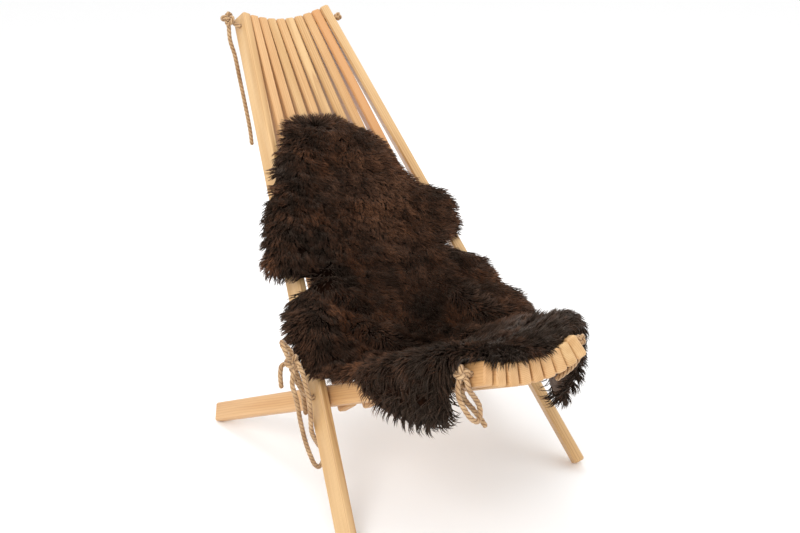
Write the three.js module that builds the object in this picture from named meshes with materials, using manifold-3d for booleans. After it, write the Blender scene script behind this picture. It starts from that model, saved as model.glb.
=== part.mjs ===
// A dark sheepskin lying down the back and over the seat of a low slatted
// lounge chair. The chair is two fans of straight slats that cross at one rope
// hinge: ten back slats, the outer two running on as front legs, and nine seat
// slats, the outer two running on as rear legs. Three ropes lace them together.
//
// Millimetres, +Z up, +X to the right of someone facing the chair, +Y to the
// rear. The floor is z = 0, and the origin is under the middle of the box
// around the chair and the skin.
import * as THREE from 'three';
import { mergeVertices } from 'three/addons/utils/BufferGeometryUtils.js';
import Module from 'manifold-3d';

const wasm = await Module();
wasm.setup();

const DEGREE = Math.PI / 180;
const X_AXIS = new THREE.Vector3(1, 0, 0);
const Y_AXIS = new THREE.Vector3(0, 1, 0);

// Slats
const SLAT_THICK = 22;
const SLAT_DEPTH = 43;
const LONG_EDGE_CHAMFER = 2;
const END_CHAMFER = 3;
const BACK_SLATS = 10;
const SEAT_SLATS = 9;
const ROLL_STEP = 2.5 * DEGREE;     // each slat leans this much more than its neighbour at the hinge

// The chair's side view
const BACK_ANGLE = 46 * DEGREE;     // of the outer back slats, up from the floor
const BACK_REACH = 919;             // hinge to top end
const HINGE_HEIGHT = 222;
const HINGE_BEHIND_FEET = 195;      // hinge, measured to the rear of the front feet
const SEAT_ANGLE = 27.2 * DEGREE;   // of the seat slats, up towards the front
const SEAT_REACH = 450;             // hinge to front end
const HEEL = 30;                    // how far inner slats run on past the hinge
const FOOT_TRIM = 6;                // height cut off each leg's square end, level with the floor
const TOP_HOLE_INSET = 38;          // hole centre from the top end
const FRONT_HOLE_INSET = 46;        // hole centre from the seat's front end

// How the slats spread: pitch between next neighbours of one fan
const TOP_PITCH = 25;
const FRONT_PITCH = 26.3;
const HINGE_STEP = 23.0;            // from slat to slat at the middle of the hinge
const HINGE_STEP_GROWTH = 0.394;    // times the square of the slat's number: the slats fan apart
const HINGE_SAG = 30;               // the hinge's middle hangs below its ends

// Ropes
const ROPE_R = 5;
const ROPE_HOLE_R = 6;
const ROPE_SIDES = 8;
const HOLE_SIDES = 10;
const ROPE_STEP = 11;               // length of one facet along a rope
const KNOT_SIDES = 12;
const JOIN_GAP = 0.3;               // between solids that touch

// Sheepskin
const SKIN_REST_GAP = 4.6;          // hide above the slats
const PILE = 34;                    // hide and wool together
const RIM_PILE = 15;                // at the outline
const RIM_FADE = 48;                // how far in from the outline the wool reaches full depth
const CORNER_R = 92;                // inside bend of the hide between back and seat
const SKIN_TOP = 627;               // neck end, up the back from the hinge corner
const ROWS = 58;
const COLUMNS = 36;
const ROW_CROWDING = 0.62;          // rows stand closer towards both ends

const woodMaterial = (colour) => new THREE.MeshStandardMaterial({ color: colour, roughness: 0.55, metalness: 0 });
const WOOD_TONES = [0xe0b67c, 0xd9aa6c, 0xe4bf8a, 0xd39a58, 0xddb174];
const ROPE_COLOUR = 0xab9272;
const WOOL_COLOUR = 0x2b1e18;

const chair = new THREE.Group();
const looseEnds = new THREE.Group();

function vec(x, y, z) {
  return new THREE.Vector3(x, y, z);
}

// Solids: boolean steps work on manifolds and come back as buffer geometry.
function toManifold(geometry) {
  const bare = geometry.clone();
  bare.deleteAttribute('normal');
  bare.deleteAttribute('uv');
  const merged = mergeVertices(bare, 1e-4);
  const vertProperties = new Float32Array(merged.attributes.position.array);
  const triVerts = new Uint32Array(merged.index.array);
  return new wasm.Manifold(new wasm.Mesh({ numProp: 3, vertProperties, triVerts }));
}

function toGeometry(manifold) {
  const mesh = manifold.getMesh();
  const geometry = new THREE.BufferGeometry();
  geometry.setAttribute('position', new THREE.BufferAttribute(new Float32Array(mesh.vertProperties), 3));
  geometry.setIndex(new THREE.BufferAttribute(new Uint32Array(mesh.triVerts), 1));
  return geometry;
}

function addNode(name, geometry, material, group = chair) {
  const mesh = new THREE.Mesh(geometry, material);
  mesh.name = name;
  group.add(mesh);
}

// Where the ropes run. k counts the slats across the hinge, from -9 at the left
// to 9 at the right: odd numbers are back slats, even numbers are seat slats.
const OUTER_BACK_K = BACK_SLATS - 1;
const OUTER_SEAT_K = SEAT_SLATS - 1;
const backDirection = vec(0, Math.cos(BACK_ANGLE), Math.sin(BACK_ANGLE));
const backNormal = vec(0, -Math.sin(BACK_ANGLE), Math.cos(BACK_ANGLE));
const seatDirection = vec(0, -Math.cos(SEAT_ANGLE), Math.sin(SEAT_ANGLE));
const seatNormal = vec(0, Math.sin(SEAT_ANGLE), Math.cos(SEAT_ANGLE));
const hingeEnd = vec(0, HINGE_BEHIND_FEET, HINGE_HEIGHT);

function hingePoint(k) {
  const across = Math.sign(k) * (HINGE_STEP * Math.abs(k) + HINGE_STEP_GROWTH * k * k);
  const sag = HINGE_SAG * (1 - (k / OUTER_BACK_K) ** 2);
  return vec(across, hingeEnd.y, hingeEnd.z - sag);
}

// The lacing at the top and at the seat's front is an arc: its middle sags
// below its ends, and each slat stands square to it.
function arcPoint(k, outerK, pitch, reach, direction, normal) {
  const radius = pitch / (2 * ROLL_STEP);
  const sag = radius * (Math.cos(k * ROLL_STEP) - Math.cos(outerK * ROLL_STEP));
  return hingeEnd.clone()
    .addScaledVector(direction, reach)
    .addScaledVector(normal, -sag)
    .add(vec(radius * Math.sin(k * ROLL_STEP), 0, 0));
}

const topPoint = (k) => arcPoint(k, OUTER_BACK_K, TOP_PITCH, BACK_REACH - TOP_HOLE_INSET, backDirection, backNormal);
const frontPoint = (k) =>
  arcPoint(k, OUTER_SEAT_K, FRONT_PITCH, SEAT_REACH - FRONT_HOLE_INSET, seatDirection, seatNormal);

// A slat's own axes: along runs from the hinge to its far hole, face looks up
// out of the seat or back, and edge points sideways. Its lean turns the last two.
function slatAxes(k, farPoint) {
  const hinge = hingePoint(k);
  const along = farPoint.clone().sub(hinge).normalize();
  const flatEdge = X_AXIS.clone().addScaledVector(along, -along.x).normalize();
  const flatFace = flatEdge.clone().cross(along);
  if (flatFace.z < 0) flatFace.negate();
  const lean = k * ROLL_STEP;
  const face = flatFace.clone().multiplyScalar(Math.cos(lean)).addScaledVector(flatEdge, -Math.sin(lean));
  const edge = face.clone().cross(along);
  return { hinge, along, face, edge };
}

function slatSection() {
  const halfWide = SLAT_THICK / 2 - END_CHAMFER;
  const halfDeep = SLAT_DEPTH / 2 - END_CHAMFER;
  const cut = LONG_EDGE_CHAMFER;
  const section = new THREE.Shape();
  section.moveTo(halfWide - cut, -halfDeep);
  section.lineTo(halfWide, -halfDeep + cut);
  section.lineTo(halfWide, halfDeep - cut);
  section.lineTo(halfWide - cut, halfDeep);
  section.lineTo(-halfWide + cut, halfDeep);
  section.lineTo(-halfWide, halfDeep - cut);
  section.lineTo(-halfWide, -halfDeep + cut);
  section.lineTo(-halfWide + cut, -halfDeep);
  section.closePath();
  return section;
}

// A drill along the rope at slat k: the points next to it give its direction.
function ropeHole(pointAt, k) {
  const before = pointAt(k - 1);
  const after = pointAt(k + 1);
  const direction = after.clone().sub(before).normalize();
  const drill = new THREE.CylinderGeometry(ROPE_HOLE_R, ROPE_HOLE_R, 3 * SLAT_THICK, HOLE_SIDES);
  drill.applyQuaternion(new THREE.Quaternion().setFromUnitVectors(Y_AXIS, direction));
  const centre = pointAt(k);
  drill.translate(centre.x, centre.y, centre.z);
  return toManifold(drill);
}

const FLOOR_CUT = 200;
const floorBlock = new THREE.BoxGeometry(3000, 3000, FLOOR_CUT);
floorBlock.translate(0, 0, -FLOOR_CUT / 2);
const underFloor = toManifold(floorBlock);

// A leg is cut square, and then its lowest corner is trimmed level to stand on.
function legReach({ hinge, along, face, edge }) {
  const cornerDrop = SLAT_DEPTH / 2 * face.z + SLAT_THICK / 2 * Math.abs(edge.z);
  return (hinge.z + FOOT_TRIM - cornerDrop) / along.z;
}

function slat(k, pointAt, ahead, isLeg) {
  const axes = slatAxes(k, pointAt(k));
  const { hinge, along, face, edge } = axes;
  const behind = isLeg ? legReach(axes) : HEEL;
  const length = ahead + behind;
  const block = new THREE.ExtrudeGeometry(slatSection(), {
    depth: length - 2 * END_CHAMFER,
    bevelEnabled: true,
    bevelThickness: END_CHAMFER,
    bevelSize: END_CHAMFER,
    bevelSegments: 1,
  });
  block.translate(0, 0, END_CHAMFER - behind);
  const placed = new THREE.Matrix4().makeBasis(edge, face, along).setPosition(hinge);
  block.applyMatrix4(placed);
  const drilled = toManifold(block)
    .subtract(ropeHole(pointAt, k))
    .subtract(ropeHole(hingePoint, k));
  return toGeometry(isLeg ? drilled.subtract(underFloor) : drilled);
}

const twoDigits = (number) => String(number).padStart(2, '0');

for (let i = 0; i < BACK_SLATS; i += 1) {
  const k = 2 * i - OUTER_BACK_K;
  const isLeg = Math.abs(k) === OUTER_BACK_K;
  const tone = WOOD_TONES[(3 * i) % WOOD_TONES.length];
  addNode(`back_slat_${twoDigits(i + 1)}`, slat(k, topPoint, BACK_REACH, isLeg), woodMaterial(tone));
}

for (let j = 0; j < SEAT_SLATS; j += 1) {
  const k = 2 * j - OUTER_SEAT_K;
  const isLeg = Math.abs(k) === OUTER_SEAT_K;
  const tone = WOOD_TONES[(2 * j + 1) % WOOD_TONES.length];
  addNode(`seat_slat_${twoDigits(j + 1)}`, slat(k, frontPoint, SEAT_REACH, isLeg), woodMaterial(tone));
}

// The hide's path down the middle of the chair, in the side view. Each straight
// part lies on the middle slats, and one bend joins them.
function middleLine(pointAt) {
  const hinge = hingePoint(0);
  const direction = pointAt(0).sub(hinge).normalize();
  const normal = X_AXIS.clone().cross(direction);
  if (normal.z < 0) normal.negate();
  const origin = hinge.clone().addScaledVector(normal, SLAT_DEPTH / 2 + SKIN_REST_GAP);
  return { origin, direction, normal };
}

const backLine = middleLine(topPoint);
const seatLine = middleLine(frontPoint);
const cornerAngle = Math.PI - backLine.direction.angleTo(seatLine.direction);
const cornerSetback = CORNER_R * Math.tan(cornerAngle / 2);
// How far from each line's origin the two lines cross.
const originGap = seatLine.origin.clone().sub(backLine.origin);
const backToCorner = originGap.dot(seatLine.normal) / backLine.direction.dot(seatLine.normal);
const corner = backLine.origin.clone().addScaledVector(backLine.direction, backToCorner);
const seatToCorner = corner.clone().sub(seatLine.origin).dot(seatLine.direction);
const bendLength = CORNER_R * cornerAngle;
const bendStart = SKIN_TOP - cornerSetback;
const bendEnd = bendStart + bendLength;

// The side edge of the outer slats at a distance up the back or along the seat:
// how far out it is, and how high above the middle slats.
function outerEdge(line, pointAt, outerK, fromHinge) {
  const { hinge, along, face, edge } = slatAxes(outerK, pointAt(outerK));
  const reach = fromHinge / Math.hypot(along.y, along.z);
  const point = hinge.clone()
    .addScaledVector(along, reach)
    .addScaledVector(face, SLAT_DEPTH / 2)
    .addScaledVector(edge, Math.sign(edge.x) * SLAT_THICK / 2);
  return { out: point.x, rise: point.sub(line.origin).dot(line.normal) + SKIN_REST_GAP };
}

const mix = (a, b, t) => a + (b - a) * t;
const clamp01 = (t) => Math.min(1, Math.max(0, t));
const smooth = (t) => clamp01(t) ** 2 * (3 - 2 * clamp01(t));

// The chair under the hide at a distance down the skin from its neck end.
function support(down) {
  const onBack = Math.max(SKIN_TOP - down, cornerSetback);
  const onSeat = Math.max(down - bendEnd + cornerSetback, cornerSetback);
  const turned = clamp01((down - bendStart) / bendLength);
  const back = outerEdge(backLine, topPoint, OUTER_BACK_K, onBack + backToCorner);
  const seat = outerEdge(seatLine, frontPoint, OUTER_SEAT_K, onSeat + seatToCorner);
  const angle = turned * cornerAngle;
  const normal = backLine.normal.clone().multiplyScalar(Math.cos(angle))
    .addScaledVector(backLine.direction, Math.sin(angle));
  const point = vec(0, 0, 0);
  if (turned <= 0) {
    point.copy(corner).addScaledVector(backLine.direction, SKIN_TOP - down);
  } else if (turned >= 1) {
    point.copy(corner).addScaledVector(seatLine.direction, down - bendEnd + cornerSetback);
    normal.copy(seatLine.normal);
  } else {
    point.copy(corner)
      .addScaledVector(backLine.direction, cornerSetback)
      .addScaledVector(backLine.normal, CORNER_R)
      .addScaledVector(normal, -CORNER_R);
  }
  // The front legs pass beside the seat here, so the hide stays wide till past them.
  const narrowing = smooth(2 * turned - 1);
  const out = mix(back.out, seat.out, narrowing);
  return { point, normal, out, rise: mix(back.rise, seat.rise, turned) };
}

// The outline of skin and wool, in rows down the skin: the edge to each side,
// measured over the surface from the chair's middle, and how far that side's
// overhang bends down, in degrees from the plane of the slats.
const OUTLINE_COLUMNS = ['down', 'left', 'right', 'leftDroop', 'rightDroop'];
const OUTLINE = [
  [0, -80, -30, 5, 5],
  [10, -98, 10, 5, 5],
  [26, -114, 42, 5, 5],
  [50, -130, 76, 5, 5],
  [88, -160, 108, 8, 5],
  [137, -190, 130, 10, 5],
  [173, -202, 138, 10, 8],
  [214, -234, 158, 14, 10],
  [234, -242, 190, 18, 12],
  [252, -249, 214, 20, 16],
  [282, -258, 224, 24, 20],
  [342, -276, 211, 26, 20],
  [360, -268, 186, 26, 20],
  [370, -246, 170, 26, 20],
  [379, -212, 172, 26, 20],
  [388, -170, 182, 26, 20],
  [398, -170, 206, 26, 22],
  [410, -216, 226, 28, 24],
  [427, -254, 241, 30, 26],
  [452, -270, 250, 34, 30],
  [482, -279, 256, 38, 32],
  [502, -279, 274, 40, 34],
  [522, -278, 304, 42, 36],
  [547, -275, 332, 44, 38],
  [572, -268, 334, 46, 42],
  [612, -250, 312, 50, 54],
  [662, -217, 268, 56, 68],
  [700, -198, 242, 66, 80],
  [728, -202, 262, 76, 82],
  [752, -218, 306, 80, 86],
  [777, -236, 342, 84, 92],
  [812, -258, 338, 84, 94],
  [852, -268, 314, 84, 94],
  [912, -271, 264, 84, 92],
  [952, -264, 214, 84, 90],
  [972, -246, 184, 84, 88],
  [988, -204, 158, 82, 86],
  [1000, -148, 134, 78, 84],
  [1010, -124, 112, 74, 82],
  [1018, -108, 92, 70, 80],
  [1026, -98, 68, 66, 78],
  [1034, -80, 44, 60, 76],
  [1044, -36, 12, 50, 70],
];
const SKIN_LENGTH = OUTLINE.at(-1)[0];

// One column of the outline at any row, as a smooth curve that never overshoots
// the rows on either side of it.
function outlineValue(name, down) {
  const column = OUTLINE_COLUMNS.indexOf(name);
  const last = OUTLINE.length - 1;
  const at = Math.min(Math.max(OUTLINE.findIndex((row) => row[0] >= down) - 1, 0), last - 1);
  const slope = (i) => (OUTLINE[i + 1][column] - OUTLINE[i][column]) / (OUTLINE[i + 1][0] - OUTLINE[i][0]);
  const tangent = (i) => {
    if (i === 0) return slope(0);
    if (i === last) return slope(last - 1);
    const before = slope(i - 1);
    const after = slope(i);
    return before * after <= 0 ? 0 : 2 * before * after / (before + after);
  };
  const [from, to] = [OUTLINE[at], OUTLINE[at + 1]];
  const width = to[0] - from[0];
  const t = clamp01((down - from[0]) / width);
  const startWeight = (1 + 2 * t) * (1 - t) ** 2;
  const endWeight = t * t * (3 - 2 * t);
  const curve = width * (t * (1 - t) ** 2 * tangent(at) - t * t * (1 - t) * tangent(at + 1));
  return startWeight * from[column] + endWeight * to[column] + curve;
}

// The hide at a distance down the skin and across it. It follows the hollow of
// the slats, turns over the outer slat's edge, and hangs from there.
const EDGE_MARGIN = 9;              // how far outside the slat's edge the turn starts
const EDGE_BEND = 44;               // length of hide in the turn
const DRAPE_STEPS = 48;

function hidePoint(down, across) {
  const { point, normal, out, rise } = support(down);
  const side = Math.sign(across) || 1;
  const droop = outlineValue(side < 0 ? 'leftDroop' : 'rightDroop', down) * DEGREE;
  const step = Math.abs(across) / DRAPE_STEPS;
  const turnFrom = out + EDGE_MARGIN;
  const edgeSlope = Math.atan(2 * rise * turnFrom / (out * out));
  let x = 0;
  let height = 0;
  let past = 0;
  let slope = 0;
  for (let i = 0; i < DRAPE_STEPS; i += 1) {
    if (x < turnFrom) {
      slope = Math.atan(2 * rise * x / (out * out));
    } else {
      past += step;
      slope = edgeSlope - (edgeSlope + droop) * smooth(past / EDGE_BEND);
    }
    x += Math.cos(slope) * step;
    height += Math.sin(slope) * step;
  }
  const position = point.clone().addScaledVector(normal, height).addScaledVector(X_AXIS, side * x);
  const outward = normal.clone().multiplyScalar(Math.cos(slope)).addScaledVector(X_AXIS, -side * Math.sin(slope));
  return { position, outward };
}

// Folds: rounded ridges and hollows. A ridge lifts hide and wool off the slats;
// a hollow only parts the wool.
const FOLDS = [
  // down, across, turn in degrees from straight across, length, width, height
  [404, -150, 20, 60, 13, 9],
  [432, -140, 38, 60, 12, 8],
  [384, -150, -8, 60, 13, 8],
  [512, -205, 80, 70, 46, 13],
  [557, -60, 35, 100, 18, 12],
  [602, 20, 30, 80, 16, -12],
  [517, 150, 60, 70, 24, 15],
  [572, 200, 20, 60, 24, 16],
  [632, 120, 50, 70, 26, 12],
  [712, -60, 62, 110, 16, 12],
  [752, 30, 50, 120, 14, -12],
  [832, 20, 35, 120, 26, 9],
  [892, -110, 82, 120, 20, 9],
  [942, 90, 10, 80, 30, 9],
];

function foldHeight(down, across) {
  let ridge = 0;
  let hollow = 0;
  for (const [foldDown, foldAcross, turn, length, width, height] of FOLDS) {
    const cos = Math.cos(turn * DEGREE);
    const sin = Math.sin(turn * DEGREE);
    const lengthwise = (across - foldAcross) * cos + (down - foldDown) * sin;
    const sideways = (down - foldDown) * cos - (across - foldAcross) * sin;
    const bump = height * Math.exp(-((lengthwise / length) ** 2) - (sideways / width) ** 2);
    if (height > 0) ridge += bump;
    else hollow += bump;
  }
  return { ridge, hollow };
}

// The skin is one closed sheet: hide side below, wool side above, a rim between.
function sheepskin() {
  const stride = COLUMNS + 1;
  const positions = [];
  const woolSide = [];
  for (let row = 0; row <= ROWS; row += 1) {
    const share = row / ROWS;
    const down = SKIN_LENGTH * (share - ROW_CROWDING * Math.sin(2 * Math.PI * share) / (2 * Math.PI));
    const left = outlineValue('left', down);
    const right = outlineValue('right', down);
    for (let column = 0; column <= COLUMNS; column += 1) {
      const across = mix(left, right, column / COLUMNS);
      const { position, outward } = hidePoint(down, across);
      const { ridge, hollow } = foldHeight(down, across);
      const inFromRim = Math.min(down, SKIN_LENGTH - down, across - left, right - across);
      const rimFade = smooth(inFromRim / RIM_FADE);
      const wool = mix(RIM_PILE, PILE, rimFade) + hollow * rimFade;
      positions.push(position.clone().addScaledVector(outward, ridge * rimFade));
      woolSide.push(position.clone().addScaledVector(outward, ridge * rimFade + wool));
    }
  }
  const hideCount = positions.length;
  positions.push(...woolSide);
  const index = [];
  const quad = (a, b, c, d) => index.push(a, b, c, a, c, d);
  for (let row = 0; row < ROWS; row += 1) {
    for (let column = 0; column < COLUMNS; column += 1) {
      const a = row * stride + column;
      quad(a, a + 1, a + 1 + stride, a + stride);
      quad(hideCount + a, hideCount + a + stride, hideCount + a + 1 + stride, hideCount + a + 1);
    }
  }
  const wall = (a, b) => quad(a, hideCount + a, hideCount + b, b);
  for (let column = 0; column < COLUMNS; column += 1) {
    wall(column, column + 1);
    wall(ROWS * stride + column + 1, ROWS * stride + column);
  }
  for (let row = 0; row < ROWS; row += 1) {
    wall((row + 1) * stride, row * stride);
    wall(row * stride + COLUMNS, (row + 1) * stride + COLUMNS);
  }
  const geometry = new THREE.BufferGeometry().setFromPoints(positions);
  geometry.setIndex(index);
  return geometry;
}

addNode('sheepskin', sheepskin(), new THREE.MeshStandardMaterial({ color: WOOL_COLOUR, roughness: 0.95 }));

// Ropes. Each runs through the holes of its slats, from a stopper knot on the
// right to a knot on the left, and the left ends hang in loops and tails.
function ropeAlong(points) {
  const path = new THREE.CatmullRomCurve3(points, false, 'centripetal');
  const section = new THREE.Shape().absarc(0, 0, ROPE_R, 0, 2 * Math.PI);
  return new THREE.ExtrudeGeometry(section, {
    curveSegments: ROPE_SIDES / 2,
    steps: Math.round(path.getLength() / ROPE_STEP),
    extrudePath: path,
  });
}

function knotSolid({ centre, radius }) {
  const ball = new THREE.SphereGeometry(radius, KNOT_SIDES, KNOT_SIDES / 2);
  return ball.translate(...centre);
}

// Where a rope meets a knot that it leaves in a given direction, and a second
// point a little farther out, so that it leaves straight.
function leave(knot, direction) {
  const outward = vec(...direction).normalize();
  const centre = vec(...knot.centre);
  const straight = ROPE_R;
  return [
    centre.clone().addScaledVector(outward, knot.radius + JOIN_GAP),
    centre.clone().addScaledVector(outward, knot.radius + JOIN_GAP + straight),
  ];
}

const KNOTS = {
  top_knot: { centre: [-146, 808, 878], radius: 16 },
  top_stopper: { centre: [132.3, 800.2, 862.3], radius: 8.5 },
  front_knot: { centre: [-131.3, -159.6, 415.8], radius: 14 },
  front_stopper: { centre: [127.5, -160.2, 414.6], radius: 10 },
  hinge_knot: { centre: [-286, 206, 307], radius: 16.5 },
  hinge_stopper: { centre: [265.3, 195, 227.8], radius: 12 },
};

// The laced runs: the holes from right to left, the direction in which the rope
// leaves each knot, and any points between the last hole and the left knot.
const RUNS = [
  {
    name: 'top_rope',
    pointAt: topPoint,
    outerK: OUTER_BACK_K,
    kStep: 2,
    stopper: 'top_stopper',
    stopperSide: [-0.92, 0.27, -0.27],
    bends: [[-124, 803, 860]],
    knot: 'top_knot',
    knotSide: [0.78, -0.1, -0.62],
  },
  {
    name: 'front_rope',
    pointAt: frontPoint,
    outerK: OUTER_SEAT_K,
    kStep: 2,
    stopper: 'front_stopper',
    stopperSide: [-0.94, -0.16, -0.3],
    bends: [],
    knot: 'front_knot',
    knotSide: [0.94, -0.16, -0.3],
  },
  {
    name: 'hinge_rope',
    pointAt: hingePoint,
    outerK: OUTER_BACK_K,
    kStep: 1,
    stopper: 'hinge_stopper',
    stopperSide: [-0.97, 0, -0.22],
    bends: [[-260, 195, 228], [-270, 196, 244], [-276, 201, 266]],
    knot: 'hinge_knot',
    knotSide: [0.30, 0.10, -0.95],
  },
];

// The loose ends: each leaves a knot, hangs by its own stiffness and weight, and
// either ends free or, as a loop, goes back into the same knot.
const LOOSE_ENDS = [
  {
    name: 'hinge_loop',
    knot: 'hinge_knot',
    from: [-0.30, -0.55, -0.78],
    route: [
      [-297, 190, 270], [-293, 183, 240], [-286, 180, 180], [-277, 178, 130], [-268, 177, 98],
      [-259, 179, 76], [-248, 183, 66], [-238, 187, 72], [-234, 187, 92], [-252, 177, 125],
      [-270, 165, 165], [-273, 162, 205], [-273, 165, 240], [-274, 179, 270],
    ],
    back: [0.50, -0.62, -0.60],
  },
  {
    name: 'hinge_bow',
    knot: 'hinge_knot',
    from: [-0.55, -0.25, 0.80],
    route: [[-305, 197, 342], [-307, 206, 352], [-303, 217, 353], [-295, 222, 342]],
    back: [0.05, 0.45, 0.89],
  },
  {
    name: 'hinge_end_outer',
    knot: 'hinge_knot',
    from: [-0.89, 0.42, -0.16],
    route: [[-309, 218, 287], [-309, 219, 270], [-308, 219, 251]],
  },
  {
    name: 'hinge_end_inner',
    knot: 'hinge_knot',
    from: [0.05, 0.75, -0.66],
    route: [[-278, 214, 262], [-269, 210, 240], [-265, 208, 212], [-263, 206, 183]],
  },
  {
    name: 'front_loop',
    knot: 'front_knot',
    from: [-0.62, -0.35, -0.70],
    route: [
      [-147, -174, 382], [-139, -182, 357], [-127, -187, 337], [-114, -186, 328],
      [-105, -180, 334], [-104, -176, 350], [-114, -175, 370], [-127, -176, 390],
    ],
    back: [0.10, -0.75, -0.65],
  },
  {
    name: 'front_end',
    knot: 'front_knot',
    from: [-0.1, 0.15, -0.98],
    route: [[-131, -158, 382], [-123, -159, 360], [-107, -163, 337], [-95, -169, 318], [-88, -175, 303]],
  },
  {
    name: 'front_end_right',
    knot: 'front_stopper',
    from: [-0.05, 0.1, -1],
    route: [[131, -160, 388], [128, -158, 373], [117, -155, 357], [101, -152, 346], [85, -150, 338]],
  },
  {
    name: 'top_end',
    knot: 'top_knot',
    from: [0.1, 0.25, -0.96],
    route: [[-143, 813, 829], [-135, 810, 794], [-127, 807, 735], [-117, 804, 663], [-111, 802, 613], [-108, 803, 576]],
  },
];

const ropeMaterial = new THREE.MeshStandardMaterial({ color: ROPE_COLOUR, roughness: 0.9 });

for (const [name, knot] of Object.entries(KNOTS)) {
  addNode(name, knotSolid(knot), ropeMaterial);
}

for (const run of RUNS) {
  const holes = [];
  for (let k = run.outerK; k >= -run.outerK; k -= run.kStep) holes.push(run.pointAt(k));
  const start = leave(KNOTS[run.stopper], run.stopperSide);
  const end = leave(KNOTS[run.knot], run.knotSide).reverse();
  const bends = run.bends.map((point) => vec(...point));
  addNode(run.name, ropeAlong([...start, ...holes, ...bends, ...end]), ropeMaterial);
}

for (const loose of LOOSE_ENDS) {
  const knot = KNOTS[loose.knot];
  const route = loose.route.map((point) => vec(...point));
  const back = loose.back ? leave(knot, loose.back).reverse() : [];
  addNode(loose.name, ropeAlong([...leave(knot, loose.from), ...route, ...back]), ropeMaterial, looseEnds);
}

// The origin goes under the middle of everything but the loose ends.
const around = new THREE.Box3().setFromObject(chair, true);
const middle = around.getCenter(vec(0, 0, 0));
chair.add(looseEnds);
chair.position.set(-middle.x, -middle.y, -around.min.z);

export default chair;
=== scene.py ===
# %% [markdown]
# # A dark sheepskin on a slatted lounge chair
#
# One long-wool lambskin lies down the back of a low wooden chair, through the
# bend and over its seat. The chair is two fans of straight slats, laced
# together with three jute ropes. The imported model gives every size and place.
# This lesson makes the surfaces that the eye sees: grown wool, planed pine and
# twisted jute. Everything is in metres, +Z is up and the chair faces -Y.

import bmesh
import bpy
import numpy as np
from mathutils import Matrix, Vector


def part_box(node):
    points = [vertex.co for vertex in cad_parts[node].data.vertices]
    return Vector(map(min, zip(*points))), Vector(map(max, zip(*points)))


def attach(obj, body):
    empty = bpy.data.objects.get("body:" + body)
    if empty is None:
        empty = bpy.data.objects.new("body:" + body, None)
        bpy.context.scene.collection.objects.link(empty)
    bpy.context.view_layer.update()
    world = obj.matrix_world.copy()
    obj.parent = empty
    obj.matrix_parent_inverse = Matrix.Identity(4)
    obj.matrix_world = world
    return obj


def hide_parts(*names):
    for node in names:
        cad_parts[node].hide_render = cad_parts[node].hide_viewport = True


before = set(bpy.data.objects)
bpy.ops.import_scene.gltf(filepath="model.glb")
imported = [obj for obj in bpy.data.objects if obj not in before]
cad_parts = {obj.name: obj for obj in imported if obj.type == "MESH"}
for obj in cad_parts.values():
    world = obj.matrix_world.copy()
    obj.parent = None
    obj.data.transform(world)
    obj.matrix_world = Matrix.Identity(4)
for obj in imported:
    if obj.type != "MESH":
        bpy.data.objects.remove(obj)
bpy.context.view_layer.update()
SLAT_NAMES = sorted(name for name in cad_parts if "slat" in name)

# %% [markdown]
# The chair is drawn about its hinge, which lies 195 mm behind the front feet's
# drawing line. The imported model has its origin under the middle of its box. The
# stopper knot at the hinge's right end tells how far one is from the other.

# %% The chair's own frame
HINGE_BEHIND_FEET = 0.195
low, high = (np.array(corner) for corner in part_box("hinge_stopper"))
SHIFT = np.array([0.0, (low[1] + high[1]) / 2 - HINGE_BEHIND_FEET, 0.0])
print("shift", SHIFT.round(4))

# %% [markdown]
# The camera was found by fitting a lens to the straight edges of the slats. It
# looks from the chair's front left, a little from above.

# %% Camera
IMAGE_WIDTH = 800
IMAGE_HEIGHT = 533
FOCAL_PIXELS = 1031.49
PRINCIPAL_POINT = (400.61, 264.35)
EYE = np.array([-1.00773, -1.45547, 1.27755])
YAW = np.radians(30.2033)
PITCH = np.radians(22.884)
SENSOR_WIDTH = 36.0

camera_data = bpy.data.cameras.new("camera")
camera_data.sensor_width = SENSOR_WIDTH
camera_data.lens = FOCAL_PIXELS / IMAGE_WIDTH * SENSOR_WIDTH
camera_data.shift_x = (IMAGE_WIDTH / 2 - PRINCIPAL_POINT[0]) / IMAGE_WIDTH
camera_data.shift_y = (PRINCIPAL_POINT[1] - IMAGE_HEIGHT / 2) / IMAGE_WIDTH
forward = np.array([np.sin(YAW) * np.cos(PITCH), np.cos(YAW) * np.cos(PITCH), -np.sin(PITCH)])
rightward = np.array([np.cos(YAW), -np.sin(YAW), 0.0])
upward = np.cross(rightward, forward)
pose = np.eye(4)
pose[:3, :3] = np.stack([rightward, upward, -forward], axis=1)
pose[:3, 3] = EYE + SHIFT
camera = bpy.data.objects.new("camera", camera_data)
camera.matrix_world = Matrix(pose.tolist())
bpy.context.scene.collection.objects.link(camera)
bpy.context.scene.camera = camera
print("lens", round(camera_data.lens, 2), "mm")

# %% [markdown]
# Every new surface is a set of points and faces, worked out with numpy. One
# helper turns such arrays into a mesh, and a second lists the faces of a grid.

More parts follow.
